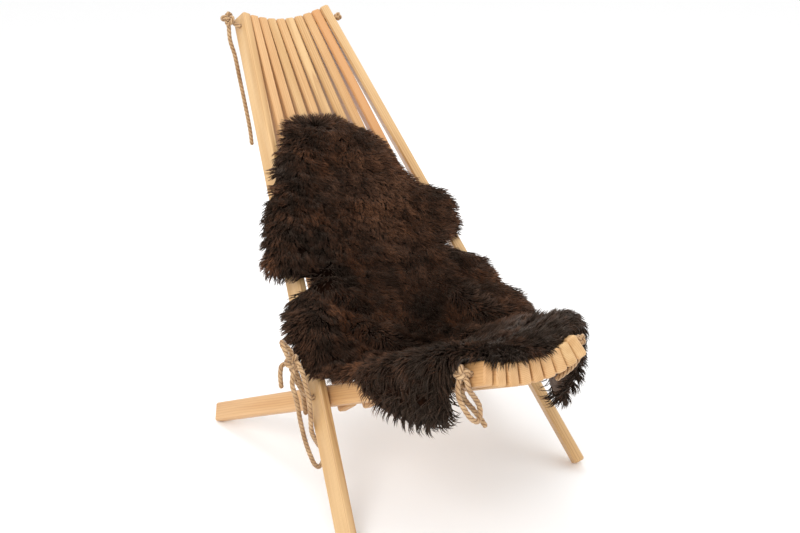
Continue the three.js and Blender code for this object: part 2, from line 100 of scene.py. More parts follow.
# %% Meshes from arrays
def mesh_piece(name, points, faces, material, uv=None):
    """A smooth mesh object at the origin. faces is one array of triangles or of quads."""
    count, corners = faces.shape
    mesh = bpy.data.meshes.new(name)
    mesh.vertices.add(len(points))
    mesh.vertices.foreach_set("co", np.asarray(points, dtype=np.float32).ravel())
    mesh.loops.add(count * corners)
    mesh.loops.foreach_set("vertex_index", faces.astype(np.int32).ravel())
    mesh.polygons.add(count)
    mesh.polygons.foreach_set("loop_start", np.arange(count, dtype=np.int32) * corners)
    mesh.polygons.foreach_set("use_smooth", np.ones(count, dtype=bool))
    mesh.update(calc_edges=True)
    if uv is not None:
        layer = mesh.uv_layers.new(name="UVMap")
        layer.data.foreach_set("uv", np.asarray(uv, dtype=np.float32)[faces.ravel()].ravel())
    mesh.materials.append(material)
    piece = bpy.data.objects.new(name, mesh)
    bpy.context.scene.collection.objects.link(piece)
    return piece


def grid_faces(rows, columns, start=0):
    """Quads between neighbouring points of a rows by columns grid."""
    a = (np.arange(rows - 1)[:, None] * columns + np.arange(columns - 1)[None, :]).ravel() + start
    return np.stack([a, a + 1, a + 1 + columns, a + columns], axis=1)


# %% [markdown]
# ## Node helpers
#
# A material is a small graph. These helpers place a node, link its inputs and
# set its values, so that each material below reads as a short recipe.

# %% Node helpers
def add_node(tree, kind, inputs=None, **settings):
    """A node whose inputs are given by name or number: a socket is linked, and a value is set."""
    node = tree.nodes.new(kind)
    for key, value in settings.items():
        setattr(node, key, value)
    for key, value in (inputs or {}).items():
        if isinstance(value, bpy.types.NodeSocket):
            tree.links.new(value, node.inputs[key])
        else:
            node.inputs[key].default_value = value
    return node


def maths(tree, operation, a, b=0.0, c=0.0):
    """The result socket of one Math node."""
    return add_node(tree, "ShaderNodeMath", {0: a, 1: b, 2: c}, operation=operation).outputs[0]


def place_of(tree, kind):
    """Where a point lies: "Object" is its place in space and "UV" its place on the piece's map."""
    return add_node(tree, "ShaderNodeTexCoord").outputs[kind]


def mapped(tree, place, **settings):
    """A place that a Mapping node has scaled, turned or moved."""
    return add_node(tree, "ShaderNodeMapping", {"Vector": place, **settings}).outputs[0]


def split(tree, vector):
    """The three numbers of a vector, as sockets."""
    return add_node(tree, "ShaderNodeSeparateXYZ", {"Vector": vector}).outputs


def noise(tree, place, scale, detail):
    """Soft random values between 0 and 1. A large scale is fine, and detail adds smaller specks."""
    inputs = {"Vector": place, "Scale": scale, "Detail": detail}
    return add_node(tree, "ShaderNodeTexNoise", inputs).outputs["Fac"]


def srgb(red, green, blue):
    """A colour as the eye names it, 0 to 255, turned into light values."""
    value = np.array([red, green, blue]) / 255
    return tuple(np.where(value <= 0.04045, value / 12.92, ((value + 0.055) / 1.055) ** 2.4))


def ramp(tree, factor, stops):
    """A colour ramp through (position, colour in light values) stops."""
    node = add_node(tree, "ShaderNodeValToRGB", {"Fac": factor})
    elements = node.color_ramp.elements
    while len(elements) < len(stops):
        elements.new(0.5)
    for element, (position, colour) in zip(elements, stops):
        element.position = position
        element.color = (*colour, 1.0)
    return node.outputs["Color"]


def eye_ramp(tree, factor, *rows):
    """A colour ramp through rows of a position and a colour as the eye names it."""
    return ramp(tree, factor, [(position, srgb(*colour)) for position, *colour in rows])


def blend_colours(tree, factor, first, second, mode="MIX"):
    """Two colours mixed. Inputs 6 and 7 are the colour sockets of a Mix node, and so is output 2."""
    inputs = {0: factor, 6: first, 7: second}
    return add_node(tree, "ShaderNodeMix", inputs, data_type="RGBA", blend_type=mode).outputs[2]


def tinted(tree, colour, tint, factor=1.0):
    """A colour times a tint."""
    return blend_colours(tree, factor, colour, tint, "MULTIPLY")


def new_material(name):
    """A material, its node tree and its shader."""
    material = bpy.data.materials.new(name)
    material.use_nodes = True
    tree = material.node_tree
    return material, tree, tree.nodes["Principled BSDF"]


def finish_shader(tree, shader, colour, height, strength, depth, values):
    """Gives a shader its colour, a bump of the given depth in metres, and its plain values."""
    bump = add_node(tree, "ShaderNodeBump", {"Strength": strength, "Distance": depth, "Height": height})
    tree.links.new(colour, shader.inputs["Base Color"])
    tree.links.new(bump.outputs[0], shader.inputs["Normal"])
    for name, value in values.items():
        shader.inputs[name].default_value = value


# %% [markdown]
# ## The jute ropes
#
# Three strands are twisted into one rope, so its section is three soft lobes
# that turn along its length. A hair or curve tool could do it, but carrying the
# lobed section along the route gives real strands with few points. The routes
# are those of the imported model: each leaves a knot, hangs, and ends bare or in
# the same knot.

# %% Jute material
STRANDS = 3
FIBRE_STRETCH = (9.0, 60.0, 1.0)   # round the rope, along it


def jute_material():
    """Straw-coloured fibres with painted shade: the colour darkens in the grooves between the strands. On the
    rope's map u runs round it and turns with its strands, and v runs along it."""
    material, tree, shader = new_material("jute")
    place = place_of(tree, "UV")
    fibre = noise(tree, mapped(tree, place, Scale=FIBRE_STRETCH), scale=1.6, detail=6.0)
    patch = noise(tree, place_of(tree, "Object"), scale=38.0, detail=3.0)
    straw = eye_ramp(tree, fibre, (0.25, 150, 120, 90), (0.5, 196, 166, 130), (0.75, 226, 202, 170))
    warm = eye_ramp(tree, patch, (0.35, 214, 196, 172), (0.65, 255, 248, 236))
    turns = maths(tree, "MULTIPLY", split(tree, place)[0], STRANDS * np.pi)
    strand = maths(tree, "ABSOLUTE", maths(tree, "COSINE", turns))
    # Painted shade: the colour darkens where the lobes of the strands meet, in the grooves.
    groove_shade = eye_ramp(tree, strand, (0.0, 120, 96, 74), (0.28, 206, 190, 168), (0.6, 255, 255, 255))
    colour = tinted(tree, tinted(tree, straw, warm), groove_shade)
    finish_shader(tree, shader, colour, height=fibre, strength=0.55, depth=0.0012,
                  values={"Roughness": 0.86, "Sheen Weight": 0.25})
    return material


JUTE = jute_material()
print("jute nodes", len(JUTE.node_tree.nodes))

# %% Rope shape
ROPE_RADIUS = 0.005
STRAND_PITCH = 0.030           # the length in which a strand turns once round the rope
ROPE_RING_STEP = 0.0022
ROPE_SIDES = 18
SPAN_POINTS = 24               # fine points between two points of a route
FEWEST_RINGS = 4
CORE, LOBE, LOBE_POWER = 0.68, 0.34, 0.6   # the section, as shares of the rope's radius
TAPER, TAPER_LENGTH = 0.28, 0.6            # how a bare end thins, as shares of the radius
FIBRE_REPEAT = 0.1             # metres of rope for each unit of the map's v
MERGE_DISTANCE = 1e-6
FLAT_LENGTH = 1e-7


def lengths_along(line):
    """How far along a line each of its points is."""
    return np.concatenate([[0], np.cumsum(np.linalg.norm(np.diff(line, axis=0), axis=1))])


def smooth_route(points, step):
    """Points a fixed step apart on a centripetal Catmull-Rom curve through the given points: between
    two points it blends the straight lines through their neighbours, twice over."""
    points = np.asarray(points, dtype=float)
    padded = np.vstack([2 * points[0] - points[1], points, 2 * points[-1] - points[-2]])
    knots = np.concatenate([[0], np.cumsum(np.linalg.norm(np.diff(padded, axis=0), axis=1) ** 0.5)])
    pieces = []
    for i in range(1, len(padded) - 2):
        t0, t1, t2, t3 = knots[i - 1:i + 3]
        p0, p1, p2, p3 = padded[i - 1:i + 3]
        t = np.linspace(t1, t2, SPAN_POINTS, endpoint=False)[:, None]
        a1 = (t1 - t) / (t1 - t0) * p0 + (t - t0) / (t1 - t0) * p1
        a2 = (t2 - t) / (t2 - t1) * p1 + (t - t1) / (t2 - t1) * p2
        a3 = (t3 - t) / (t3 - t2) * p2 + (t - t2) / (t3 - t2) * p3
        b1 = (t2 - t) / (t2 - t0) * a1 + (t - t0) / (t2 - t0) * a2
        b2 = (t3 - t) / (t3 - t1) * a2 + (t - t1) / (t3 - t1) * a3
        pieces.append((t2 - t) / (t2 - t1) * b1 + (t - t1) / (t2 - t1) * b2)
    fine = np.vstack([*pieces, points[-1:]])
    length = lengths_along(fine)
    at = np.linspace(0, length[-1], max(FEWEST_RINGS, int(round(length[-1] / step)) + 1))
    return np.stack([np.interp(at, length, fine[:, axis]) for axis in range(3)], axis=1), at


def side_directions(line):
    """Two directions square to the line at each point, carried along so that they do not spin."""
    tangent = np.gradient(line, axis=0)
    tangent /= np.linalg.norm(tangent, axis=1, keepdims=True)
    side = np.empty_like(line)
    carried = np.array([0.3, 0.9, 0.2])   # any direction that no rope starts along
    for i, direction in enumerate(tangent):
        carried = carried - direction * (carried @ direction)
        carried /= np.linalg.norm(carried)
        side[i] = carried
    return side, np.cross(tangent, side)


def lobed_tube(line, along):
    """A three-lobed section carried along the line. At angle a and distance s its radius is the
    rope's, times CORE + LOBE * |cos(1.5 * (a + turn(s)))| ** LOBE_POWER. The turn grows by a full
    circle each pitch, and the radius shrinks by the taper's share at both ends."""
    side, across = side_directions(line)
    angle = np.linspace(0, 2 * np.pi, ROPE_SIDES + 1)
    turn = 2 * np.pi * along[:, None] / STRAND_PITCH
    lobe = np.abs(np.cos(STRANDS / 2 * (angle[None, :] + turn))) ** LOBE_POWER
    from_end = np.minimum(along, along[-1] - along)[:, None]
    full = np.clip(from_end / (TAPER_LENGTH * ROPE_RADIUS), 0, 1) ** 0.5
    reach = ROPE_RADIUS * (CORE + LOBE * lobe) * (1 - TAPER + TAPER * full)
    points = line[:, None, :] + reach[..., None] * (
        np.cos(angle)[None, :, None] * side[:, None, :] + np.sin(angle)[None, :, None] * across[:, None, :]
    )
    u = angle[None, :] / (2 * np.pi) + along[:, None] / STRAND_PITCH
    return points, np.stack(np.broadcast_arrays(u, along[:, None] / FIBRE_REPEAT), axis=-1)


def close_seams(piece):
    """Merges the points that lie on each other where a grid closes on itself."""
    work = bmesh.new()
    work.from_mesh(piece.data)
    bmesh.ops.remove_doubles(work, verts=work.verts, dist=MERGE_DISTANCE)
    bmesh.ops.dissolve_degenerate(work, edges=work.edges, dist=FLAT_LENGTH)
    work.to_mesh(piece.data)
    work.free()


def tube_piece(name, line, along):
    """A rope on a line, closed at both ends by a fan to its own centre. It takes the place of the
    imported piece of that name."""
    points, uv = lobed_tube(line, along)
    rows, columns = points.shape[:2]
    first, last = (np.broadcast_to(line[end], (1, columns, 3)) for end in (0, -1))
    points = np.concatenate([first, points, last]).reshape(-1, 3)
    uv = np.concatenate([uv[:1], uv, uv[-1:]]).reshape(-1, 2)
    piece = mesh_piece("jute_" + name, points, grid_faces(rows + 2, columns), JUTE, uv)
    close_seams(piece)
    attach(piece, "root")
    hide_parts(name)
    return piece


def rope_piece(name, route):
    """A rope along a route in the chair's frame, and the line of its rings' centres."""
    line, along = smooth_route(np.asarray(route) + SHIFT, ROPE_RING_STEP)
    return tube_piece(name, line, along), line


print("rope", 2 * ROPE_RADIUS, "m thick")

# %% Rope routes
# Each knot: its centre, its radius and how it is turned about X and Z.
KNOTS = {
    "top_knot": ((-0.146, 0.808, 0.878), 0.016, (0.5, 0.2)),
    "top_stopper": ((0.1300, 0.8008, 0.8617), 0.0085, (1.3, 0.6)),
    "front_knot": ((-0.1313, -0.1596, 0.4158), 0.014, (1.0, 0.9)),
    "front_stopper": ((0.1275, -0.1602, 0.4146), 0.010, (1.2, 0.0)),
    "hinge_knot": ((-0.286, 0.206, 0.307), 0.0165, (1.2, 0.4)),
    "hinge_stopper": ((0.2653, 0.195, 0.2278), 0.012, (1.4, 1.1)),
}
# Each loose end: the knot that it leaves, in which direction, its route, and
# the direction in which it comes back to the knot, where it does.
LOOSE_ENDS = {
    "hinge_loop": ("hinge_knot", (-0.30, -0.55, -0.78), [
        (-0.297, 0.190, 0.270), (-0.293, 0.183, 0.240), (-0.286, 0.180, 0.180), (-0.277, 0.178, 0.130),
        (-0.268, 0.177, 0.098), (-0.259, 0.179, 0.076), (-0.248, 0.183, 0.066), (-0.238, 0.187, 0.072),
        (-0.234, 0.187, 0.092), (-0.252, 0.177, 0.125), (-0.270, 0.165, 0.165), (-0.273, 0.162, 0.205),
        (-0.273, 0.165, 0.240), (-0.274, 0.179, 0.270),
    ], (0.50, -0.62, -0.60)),
    "hinge_bow": ("hinge_knot", (-0.55, -0.25, 0.80), [
        (-0.305, 0.197, 0.342), (-0.307, 0.206, 0.352), (-0.303, 0.217, 0.353), (-0.295, 0.222, 0.342),
    ], (0.05, 0.45, 0.89)),
    "hinge_end_outer": ("hinge_knot", (-0.89, 0.42, -0.16), [
        (-0.309, 0.218, 0.287), (-0.309, 0.219, 0.270), (-0.308, 0.219, 0.251),
    ], None),
    "hinge_end_inner": ("hinge_knot", (0.05, 0.75, -0.66), [
        (-0.278, 0.214, 0.262), (-0.269, 0.210, 0.240), (-0.265, 0.208, 0.212), (-0.263, 0.206, 0.183),
    ], None),
    "front_loop": ("front_knot", (-0.62, -0.35, -0.70), [
        (-0.147, -0.174, 0.382), (-0.139, -0.182, 0.357), (-0.127, -0.187, 0.337), (-0.114, -0.186, 0.328),
        (-0.105, -0.180, 0.334), (-0.104, -0.176, 0.350), (-0.114, -0.175, 0.370), (-0.127, -0.176, 0.390),
    ], (0.10, -0.75, -0.65)),
    "front_end": ("front_knot", (-0.1, 0.15, -0.98), [
        (-0.131, -0.158, 0.382), (-0.123, -0.159, 0.360), (-0.107, -0.163, 0.337),
        (-0.095, -0.169, 0.318), (-0.088, -0.175, 0.303),
    ], None),
    "front_end_right": ("front_stopper", (-0.05, 0.1, -1.0), [
        (0.131, -0.160, 0.388), (0.128, -0.158, 0.373), (0.117, -0.155, 0.357),
        (0.101, -0.152, 0.346), (0.085, -0.150, 0.338),
    ], None),
    "top_end": ("top_knot", (0.1, 0.25, -0.96), [
        (-0.143, 0.813, 0.829), (-0.135, 0.810, 0.794), (-0.127, 0.807, 0.735),
        (-0.117, 0.804, 0.663), (-0.111, 0.802, 0.613), (-0.108, 0.803, 0.576),
    ], None),
}
INTO_KNOT, OFF_KNOT = 0.7, 1.3   # a loose end starts and clears its knot at these shares of its radius


def leaving(knot, direction):
    """The two points from which a rope leaves a knot straight, in the given direction."""
    centre, radius, _ = KNOTS[knot]
    direction = np.array(direction) / np.linalg.norm(direction)
    return [np.array(centre) + direction * radius * share for share in (INTO_KNOT, OFF_KNOT)]


for name, (knot, direction, route, back) in LOOSE_ENDS.items():
    returning = leaving(knot, back)[::-1] if back else []
    piece, line = rope_piece(name, [*leaving(knot, direction), *route, *returning])
    length = float(lengths_along(line)[-1])
    print(name, round(length, 3), "m")

# %% [markdown]
# The laced runs go through the slats' holes. The holes' places follow from the
# chair's few driving sizes: an arc at the top, one at the seat's front, and a
# sagging line at the hinge.

# %% Where the slats' holes are
DEGREE = np.pi / 180
SLAT_THICK = 0.022
SLAT_DEPTH = 0.043
OUTER_BACK = 9                   # the outer back slats are slats -9 and 9
OUTER_SEAT = 8
ROLL_STEP = 2.5 * DEGREE         # how much more each slat leans than the one beside it
BACK_ANGLE = 46 * DEGREE
SEAT_ANGLE = 27.2 * DEGREE
HINGE_HEIGHT = 0.222
HINGE_STEP = 0.0230
HINGE_STEP_GROWTH = 0.000394
HINGE_SAG = 0.030
TOP_HOLE_REACH = 0.919 - 0.038   # the slat's length from the hinge, less the hole's place from its end
FRONT_HOLE_REACH = 0.450 - 0.046
TOP_PITCH = 0.025
FRONT_PITCH = 0.0263

X_AXIS = np.array([1.0, 0.0, 0.0])
BACK_DIRECTION = np.array([0, np.cos(BACK_ANGLE), np.sin(BACK_ANGLE)])
BACK_NORMAL = np.array([0, -np.sin(BACK_ANGLE), np.cos(BACK_ANGLE)])
SEAT_DIRECTION = np.array([0, -np.cos(SEAT_ANGLE), np.sin(SEAT_ANGLE)])
SEAT_NORMAL = np.array([0, np.sin(SEAT_ANGLE), np.cos(SEAT_ANGLE)])


def hinge_hole(k):
    """Slat k counts across the hinge from -9 to 9: odd ones are back slats, even ones seat slats.
    The steps between them grow outwards, and their heights follow a parabola."""
    across = np.sign(k) * (HINGE_STEP * abs(k) + HINGE_STEP_GROWTH * k * k)
    return np.array([across, HINGE_BEHIND_FEET, HINGE_HEIGHT - HINGE_SAG * (1 - (k / OUTER_BACK) ** 2)])


def arc_hole(k, outer, pitch, reach, direction, normal):
    """A hole on the arc whose ends are level with the outer slats, and whose middle sags."""
    radius = pitch / (2 * ROLL_STEP)
    sag = radius * (np.cos(k * ROLL_STEP) - np.cos(outer * ROLL_STEP))
    ends = np.array([0, HINGE_BEHIND_FEET, HINGE_HEIGHT])
    return ends + direction * reach - normal * sag + X_AXIS * radius * np.sin(k * ROLL_STEP)


def top_hole(k):
    """The top rope's hole in back slat k."""
    return arc_hole(k, OUTER_BACK, TOP_PITCH, TOP_HOLE_REACH, BACK_DIRECTION, BACK_NORMAL)


def front_hole(k):
    """The front rope's hole in seat slat k."""
    return arc_hole(k, OUTER_SEAT, FRONT_PITCH, FRONT_HOLE_REACH, SEAT_DIRECTION, SEAT_NORMAL)


# Each run: its holes, the outermost slat, the step from slat to slat, and the
# bends between the last hole and the left knot.
RUNS = {
    "top": (top_hole, OUTER_BACK, 2, [(-0.124, 0.803, 0.860)]),
    "front": (front_hole, OUTER_SEAT, 2, []),
    "hinge": (hinge_hole, OUTER_BACK, 1, [
        (-0.260, 0.195, 0.228), (-0.270, 0.196, 0.244), (-0.276, 0.201, 0.266),
    ]),
}
for name, (hole, outer, step, bends) in RUNS.items():
    stopper, knot = (KNOTS[name + end][0] for end in ("_stopper", "_knot"))
    holes = [hole(k) for k in range(outer, -outer - 1, -step)]
    _, line = rope_piece(name + "_rope", [stopper, *holes, *bends, knot])
    print(name, "rope has", len(line), "rings")

# %% [markdown]
# A knot is the same lobed rope on a closed curve. A trefoil is what an overhand
# knot makes when it is drawn tight, so each knot is a small trefoil of rope.

# %% Knots
TREFOIL_RINGS = 110
KNOT_OVER = 0.002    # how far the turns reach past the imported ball
KNOT_DEPTH = 1.6     # how far apart the turns cross


def trefoil(centre, radius, tilt):
    """(sin t + 2 sin 2t, cos t - 2 cos 2t, -KNOT_DEPTH sin 3t), whose widest turn is 3, scaled so that
    the rope round it fills a ball."""
    t = np.linspace(0, 2 * np.pi, TREFOIL_RINGS)
    turns = [np.sin(t) + 2 * np.sin(2 * t), np.cos(t) - 2 * np.cos(2 * t), -KNOT_DEPTH * np.sin(3 * t)]
    curve = (radius + KNOT_OVER - ROPE_RADIUS) / 3 * np.stack(turns, axis=1)
    turn = np.array(Matrix.Rotation(tilt[0], 3, "X") @ Matrix.Rotation(tilt[1], 3, "Z"))
    return curve @ turn.T + centre + SHIFT


for name, (centre, radius, tilt) in KNOTS.items():
    line = trefoil(np.array(centre), radius, tilt)
    tube_piece(name, line, lengths_along(line))
print("knots", len(KNOTS))

# %% [markdown]
# ## The hide's drape
#
# A skin hardly stretches, so its shape is worked out from two lengths on its
# own surface: how far down it a point is from the neck end, and how far across
# from its middle. Down the middle it follows the back, a round bend and the
# seat. Across, it follows the slats' hollow, turns over the outer slat and hangs.

# %% Sizes of the drape
SKIN_REST_GAP = 0.0046      # between the slats and the hide's underside
SKIN_TOP = 0.627            # how far up the back the neck end is from the corner of back and seat
CORNER_RADIUS = 0.092       # of the bend between them
EDGE_MARGIN = 0.009         # how far past the outer slats the hide starts to turn down
EDGE_BEND = 0.044           # the length over which it turns
DRAPE_STEPS = 48


def unit(v):
    """A vector of length 1."""
    return v / np.linalg.norm(v)


def middle_line(hole):
    """Origin, direction and normal of the line on which the hide lies down the chair's middle."""
    direction = unit(hole(0) - hinge_hole(0))
    normal = unit(np.cross(X_AXIS, direction))
    normal *= np.sign(normal[2])
    return hinge_hole(0) + normal * (SLAT_DEPTH / 2 + SKIN_REST_GAP), direction, normal


BACK_LINE = middle_line(top_hole)
SEAT_LINE = middle_line(front_hole)
CORNER_ANGLE = np.pi - np.arccos(BACK_LINE[1] @ SEAT_LINE[1])
CORNER_SETBACK = CORNER_RADIUS * np.tan(CORNER_ANGLE / 2)
TO_CORNER_BACK = (SEAT_LINE[0] - BACK_LINE[0]) @ SEAT_LINE[2] / (BACK_LINE[1] @ SEAT_LINE[2])
CORNER = BACK_LINE[0] + BACK_LINE[1] * TO_CORNER_BACK
TO_CORNER_SEAT = (CORNER - SEAT_LINE[0]) @ SEAT_LINE[1]
BEND_LENGTH = CORNER_RADIUS * CORNER_ANGLE
BEND_START = SKIN_TOP - CORNER_SETBACK
BEND_END = BEND_START + BEND_LENGTH
print("bend from", round(BEND_START, 3), "to", round(BEND_END, 3))


def outer_edge(line, hole, outer, from_hinge):
    """How far out the outer slats' upper edge is, and how high above the hide's middle line."""
    hinge = hinge_hole(outer)
    along = unit(hole(outer) - hinge)
    flat_edge = unit(X_AXIS - along * along[0])
    flat_face = np.cross(flat_edge, along)
    flat_face *= np.sign(flat_face[2])
    lean = outer * ROLL_STEP
    face = flat_face * np.cos(lean) - flat_edge * np.sin(lean)
    edge = np.cross(face, along)
    reach = from_hinge / np.hypot(along[1], along[2])
    point = hinge + reach[:, None] * along + face * SLAT_DEPTH / 2 + edge * np.sign(edge[0]) * SLAT_THICK / 2
    return point[:, 0], (point - line[0]) @ line[2] + SKIN_REST_GAP


def smooth(t):
    """3 t^2 - 2 t^3: 0 up to t = 0, an even rise, and 1 from t = 1 on."""
    t = np.clip(t, 0, 1)
    return t * t * (3 - 2 * t)


def chair_under(down):
    """For each distance down the skin: the middle point, the normal, and the outer slats' edge."""
    on_back = np.maximum(SKIN_TOP - down, CORNER_SETBACK)
    on_seat = np.maximum(down - BEND_END + CORNER_SETBACK, CORNER_SETBACK)
    turned = np.clip((down - BEND_START) / BEND_LENGTH, 0, 1)
    back_out, back_rise = outer_edge(BACK_LINE, top_hole, OUTER_BACK, on_back + TO_CORNER_BACK)
    seat_out, seat_rise = outer_edge(SEAT_LINE, front_hole, OUTER_SEAT, on_seat + TO_CORNER_SEAT)
    angle = (turned * CORNER_ANGLE)[:, None]
    normal = BACK_LINE[2] * np.cos(angle) + BACK_LINE[1] * np.sin(angle)
    on_bend = CORNER + BACK_LINE[1] * CORNER_SETBACK + BACK_LINE[2] * CORNER_RADIUS - normal * CORNER_RADIUS
    up_back = CORNER + BACK_LINE[1] * (SKIN_TOP - down)[:, None]
    along_seat = CORNER + SEAT_LINE[1] * (down - BEND_END + CORNER_SETBACK)[:, None]
    point = np.where((turned <= 0)[:, None], up_back, np.where((turned >= 1)[:, None], along_seat, on_bend))
    out = back_out + (seat_out - back_out) * smooth(2 * turned - 1)
    return point, normal, out, back_rise + (seat_rise - back_rise) * turned


# %% [markdown]
# The real hide's edge waves: the neck is narrow, the legs and the belly stick
# out, and between them it is drawn in. A table holds that edge row by row, and
# a curve that never overshoots its rows joins them.

# %% The outline
# Rows down the skin: the edge to each side, over the surface from the chair's
# middle, and how far that side's overhang bends down, in degrees.
OUTLINE = np.array([
    # down, left, right, left droop, right droop
    (0.000, -0.080, -0.030, 5, 5),
    (0.010, -0.098, 0.010, 5, 5),
    (0.026, -0.114, 0.042, 5, 5),
    (0.050, -0.130, 0.076, 5, 5),
    (0.088, -0.160, 0.108, 8, 5),
    (0.137, -0.190, 0.130, 10, 5),
    (0.173, -0.202, 0.138, 10, 8),
    (0.214, -0.234, 0.158, 14, 10),
    (0.234, -0.242, 0.190, 18, 12),
    (0.252, -0.249, 0.214, 20, 16),
    (0.282, -0.258, 0.224, 24, 20),
    (0.342, -0.276, 0.211, 26, 20),
    (0.360, -0.268, 0.186, 26, 20),
    (0.370, -0.246, 0.170, 26, 20),
    (0.379, -0.212, 0.172, 26, 20),
    (0.388, -0.170, 0.182, 26, 20),
    (0.398, -0.170, 0.206, 26, 22),
    (0.410, -0.216, 0.226, 28, 24),
    (0.427, -0.254, 0.241, 30, 26),
    (0.452, -0.270, 0.250, 34, 30),
    (0.482, -0.279, 0.256, 38, 32),
    (0.502, -0.279, 0.274, 40, 34),
    (0.522, -0.278, 0.304, 42, 36),
    (0.547, -0.275, 0.332, 44, 38),
    (0.572, -0.268, 0.334, 46, 42),
    (0.612, -0.250, 0.312, 50, 54),
    (0.662, -0.217, 0.268, 56, 68),
    (0.700, -0.198, 0.242, 66, 80),
    (0.728, -0.202, 0.262, 76, 82),
    (0.752, -0.218, 0.306, 80, 86),
    (0.777, -0.236, 0.342, 84, 92),
    (0.812, -0.258, 0.338, 84, 94),
    (0.852, -0.268, 0.314, 84, 94),
    (0.912, -0.271, 0.264, 84, 92),
    (0.952, -0.264, 0.214, 84, 90),
    (0.972, -0.246, 0.184, 84, 88),
    (0.988, -0.204, 0.158, 82, 86),
    (1.000, -0.148, 0.134, 78, 84),
    (1.010, -0.124, 0.112, 74, 82),
    (1.018, -0.108, 0.092, 70, 80),
    (1.026, -0.098, 0.068, 66, 78),
    (1.034, -0.080, 0.044, 60, 76),
    (1.044, -0.036, 0.012, 50, 70),
])
LEFT, RIGHT, LEFT_DROOP, RIGHT_DROOP = 1, 2, 3, 4
SKIN_LENGTH = OUTLINE[-1, 0]


def outline(column, down):
    """One column of the outline as a smooth curve that never overshoots its rows: cubic pieces
    whose slope at a row is the harmonic mean of the slopes on either side, or 0 at a peak."""
    rows, values = OUTLINE[:, 0], OUTLINE[:, column]
    slopes = np.diff(values) / np.diff(rows)
    before, after = slopes[:-1], slopes[1:]
    same_way = before * after > 0
    inner = np.where(same_way, 2 * before * after / np.where(same_way, before + after, 1), 0)
    tangents = np.concatenate([slopes[:1], inner, slopes[-1:]])
    at = np.clip(np.searchsorted(rows, down, side="left") - 1, 0, len(rows) - 2)
    width = rows[at + 1] - rows[at]
    t = np.clip((down - rows[at]) / width, 0, 1)
    ends = (1 + 2 * t) * (1 - t) ** 2 * values[at] + t * t * (3 - 2 * t) * values[at + 1]
    return ends + width * (t * (1 - t) ** 2 * tangents[at] - t * t * (1 - t) * tangents[at + 1])


def hide_points(down, across):
    """Where each point of the hide lies, in the chair's frame, and which way its wool side faces.
    Across, the slope follows a parabola to just past the slats, turns down over a short bend and
    stays at the droop; the point is the sum of small steps along that slope."""
    point, normal, out, rise = chair_under(down)
    side = np.where(across < 0, -1.0, 1.0)
    droop = np.where(side < 0, outline(LEFT_DROOP, down), outline(RIGHT_DROOP, down)) * DEGREE
    step = np.abs(across) / DRAPE_STEPS
    turn_from = out + EDGE_MARGIN
    edge_slope = np.arctan(2 * rise * turn_from / out ** 2)
    x, height, past, slope = (np.zeros_like(across) for _ in range(4))
    for _ in range(DRAPE_STEPS):
        inside = x < turn_from
        past = np.where(inside, past, past + step)
        hanging = edge_slope - (edge_slope + droop) * smooth(past / EDGE_BEND)
        slope = np.where(inside, np.arctan(2 * rise * x / out ** 2), hanging)
        x = x + np.cos(slope) * step
        height = height + np.sin(slope) * step
    position = point + normal * height[:, None] + X_AXIS * (side * x)[:, None]
    outward = normal * np.cos(slope)[:, None] - X_AXIS * (side * np.sin(slope))[:, None]
    return position, outward


print("skin", SKIN_LENGTH, "m long, rows", len(OUTLINE))

# %% [markdown]
# A skin that lies through a bend is pushed together, and folds. Each fold is a
# smooth bump, long in one direction and narrow in the other, that is added to
# the drape's height.

# %% Folds
RIM_FADE = 0.048    # folds fade out over this distance to the edge
# Rounded ridges lift hide and wool; hollows only part the wool.
FOLDS = [
    # down, across, turn in degrees from straight across, length, width, height
    (0.404, -0.150, 20, 0.060, 0.013, 0.009),
    (0.432, -0.140, 38, 0.060, 0.012, 0.008),
    (0.384, -0.150, -8, 0.060, 0.013, 0.008),
    (0.512, -0.205, 80, 0.070, 0.046, 0.013),
    (0.557, -0.060, 35, 0.100, 0.018, 0.012),
    (0.602, 0.020, 30, 0.080, 0.016, -0.012),
    (0.517, 0.150, 60, 0.070, 0.024, 0.015),
    (0.572, 0.200, 20, 0.060, 0.024, 0.016),
    (0.632, 0.120, 50, 0.070, 0.026, 0.012),
    (0.712, -0.060, 62, 0.110, 0.016, 0.012),
    (0.752, 0.030, 50, 0.120, 0.014, -0.012),
    (0.832, 0.020, 35, 0.120, 0.026, 0.009),
    (0.892, -0.110, 82, 0.120, 0.020, 0.009),
    (0.942, 0.090, 10, 0.080, 0.030, 0.009),
]


def folds(down, across):
    """How high the ridges lift the hide at each point, and how deep the hollows part the wool."""
    ridge = np.zeros_like(down)
    hollow = np.zeros_like(down)
    for fold_down, fold_across, turn, length, width, height in FOLDS:
        cos, sin = np.cos(turn * DEGREE), np.sin(turn * DEGREE)
        lengthwise = (across - fold_across) * cos + (down - fold_down) * sin
        sideways = (down - fold_down) * cos - (across - fold_across) * sin
        bump = height * np.exp(-(lengthwise / length) ** 2 - (sideways / width) ** 2)
        if height > 0:
            ridge += bump
        else:
            hollow += bump
    return ridge, hollow


def rim_distance(down, across):
    """Distance in from the skin's nearest edge, over its surface."""
    from_left, from_right = across - outline(LEFT, down), outline(RIGHT, down) - across
    return np.minimum.reduce([down, SKIN_LENGTH - down, from_left, from_right])


def hide_surface(down, across):
    """The hide's wool-side surface with its folds, and its outward direction."""
    position, outward = hide_points(down, across)
    ridge, _ = folds(down, across)
    rim = smooth(rim_distance(down, across) / RIM_FADE)
    return position + outward * (ridge * rim)[:, None] + SHIFT, outward


print("folds", len(FOLDS))

# %% [markdown]
# ## Wool and leather finishes
#
# The wool is dark brown. Its colour is painted nearly black at the roots, as painted shade deep in the
# fleece, and a warm brown at the tips, partly its own colour and partly painted highlight, and each lock has
# its own tone. The locks carry a UV map for this: u is the lock's tone and v runs from root to tip. The
# undercoat is painted darker still, as painted shade in the depth of the wool, and the flesh side is a pale
# brown suede.

# %% Wool and leather
TIP_LIGHT = 1.3    # the power with which a lock's colour rises from its painted-shade root to its partly painted-highlight tip
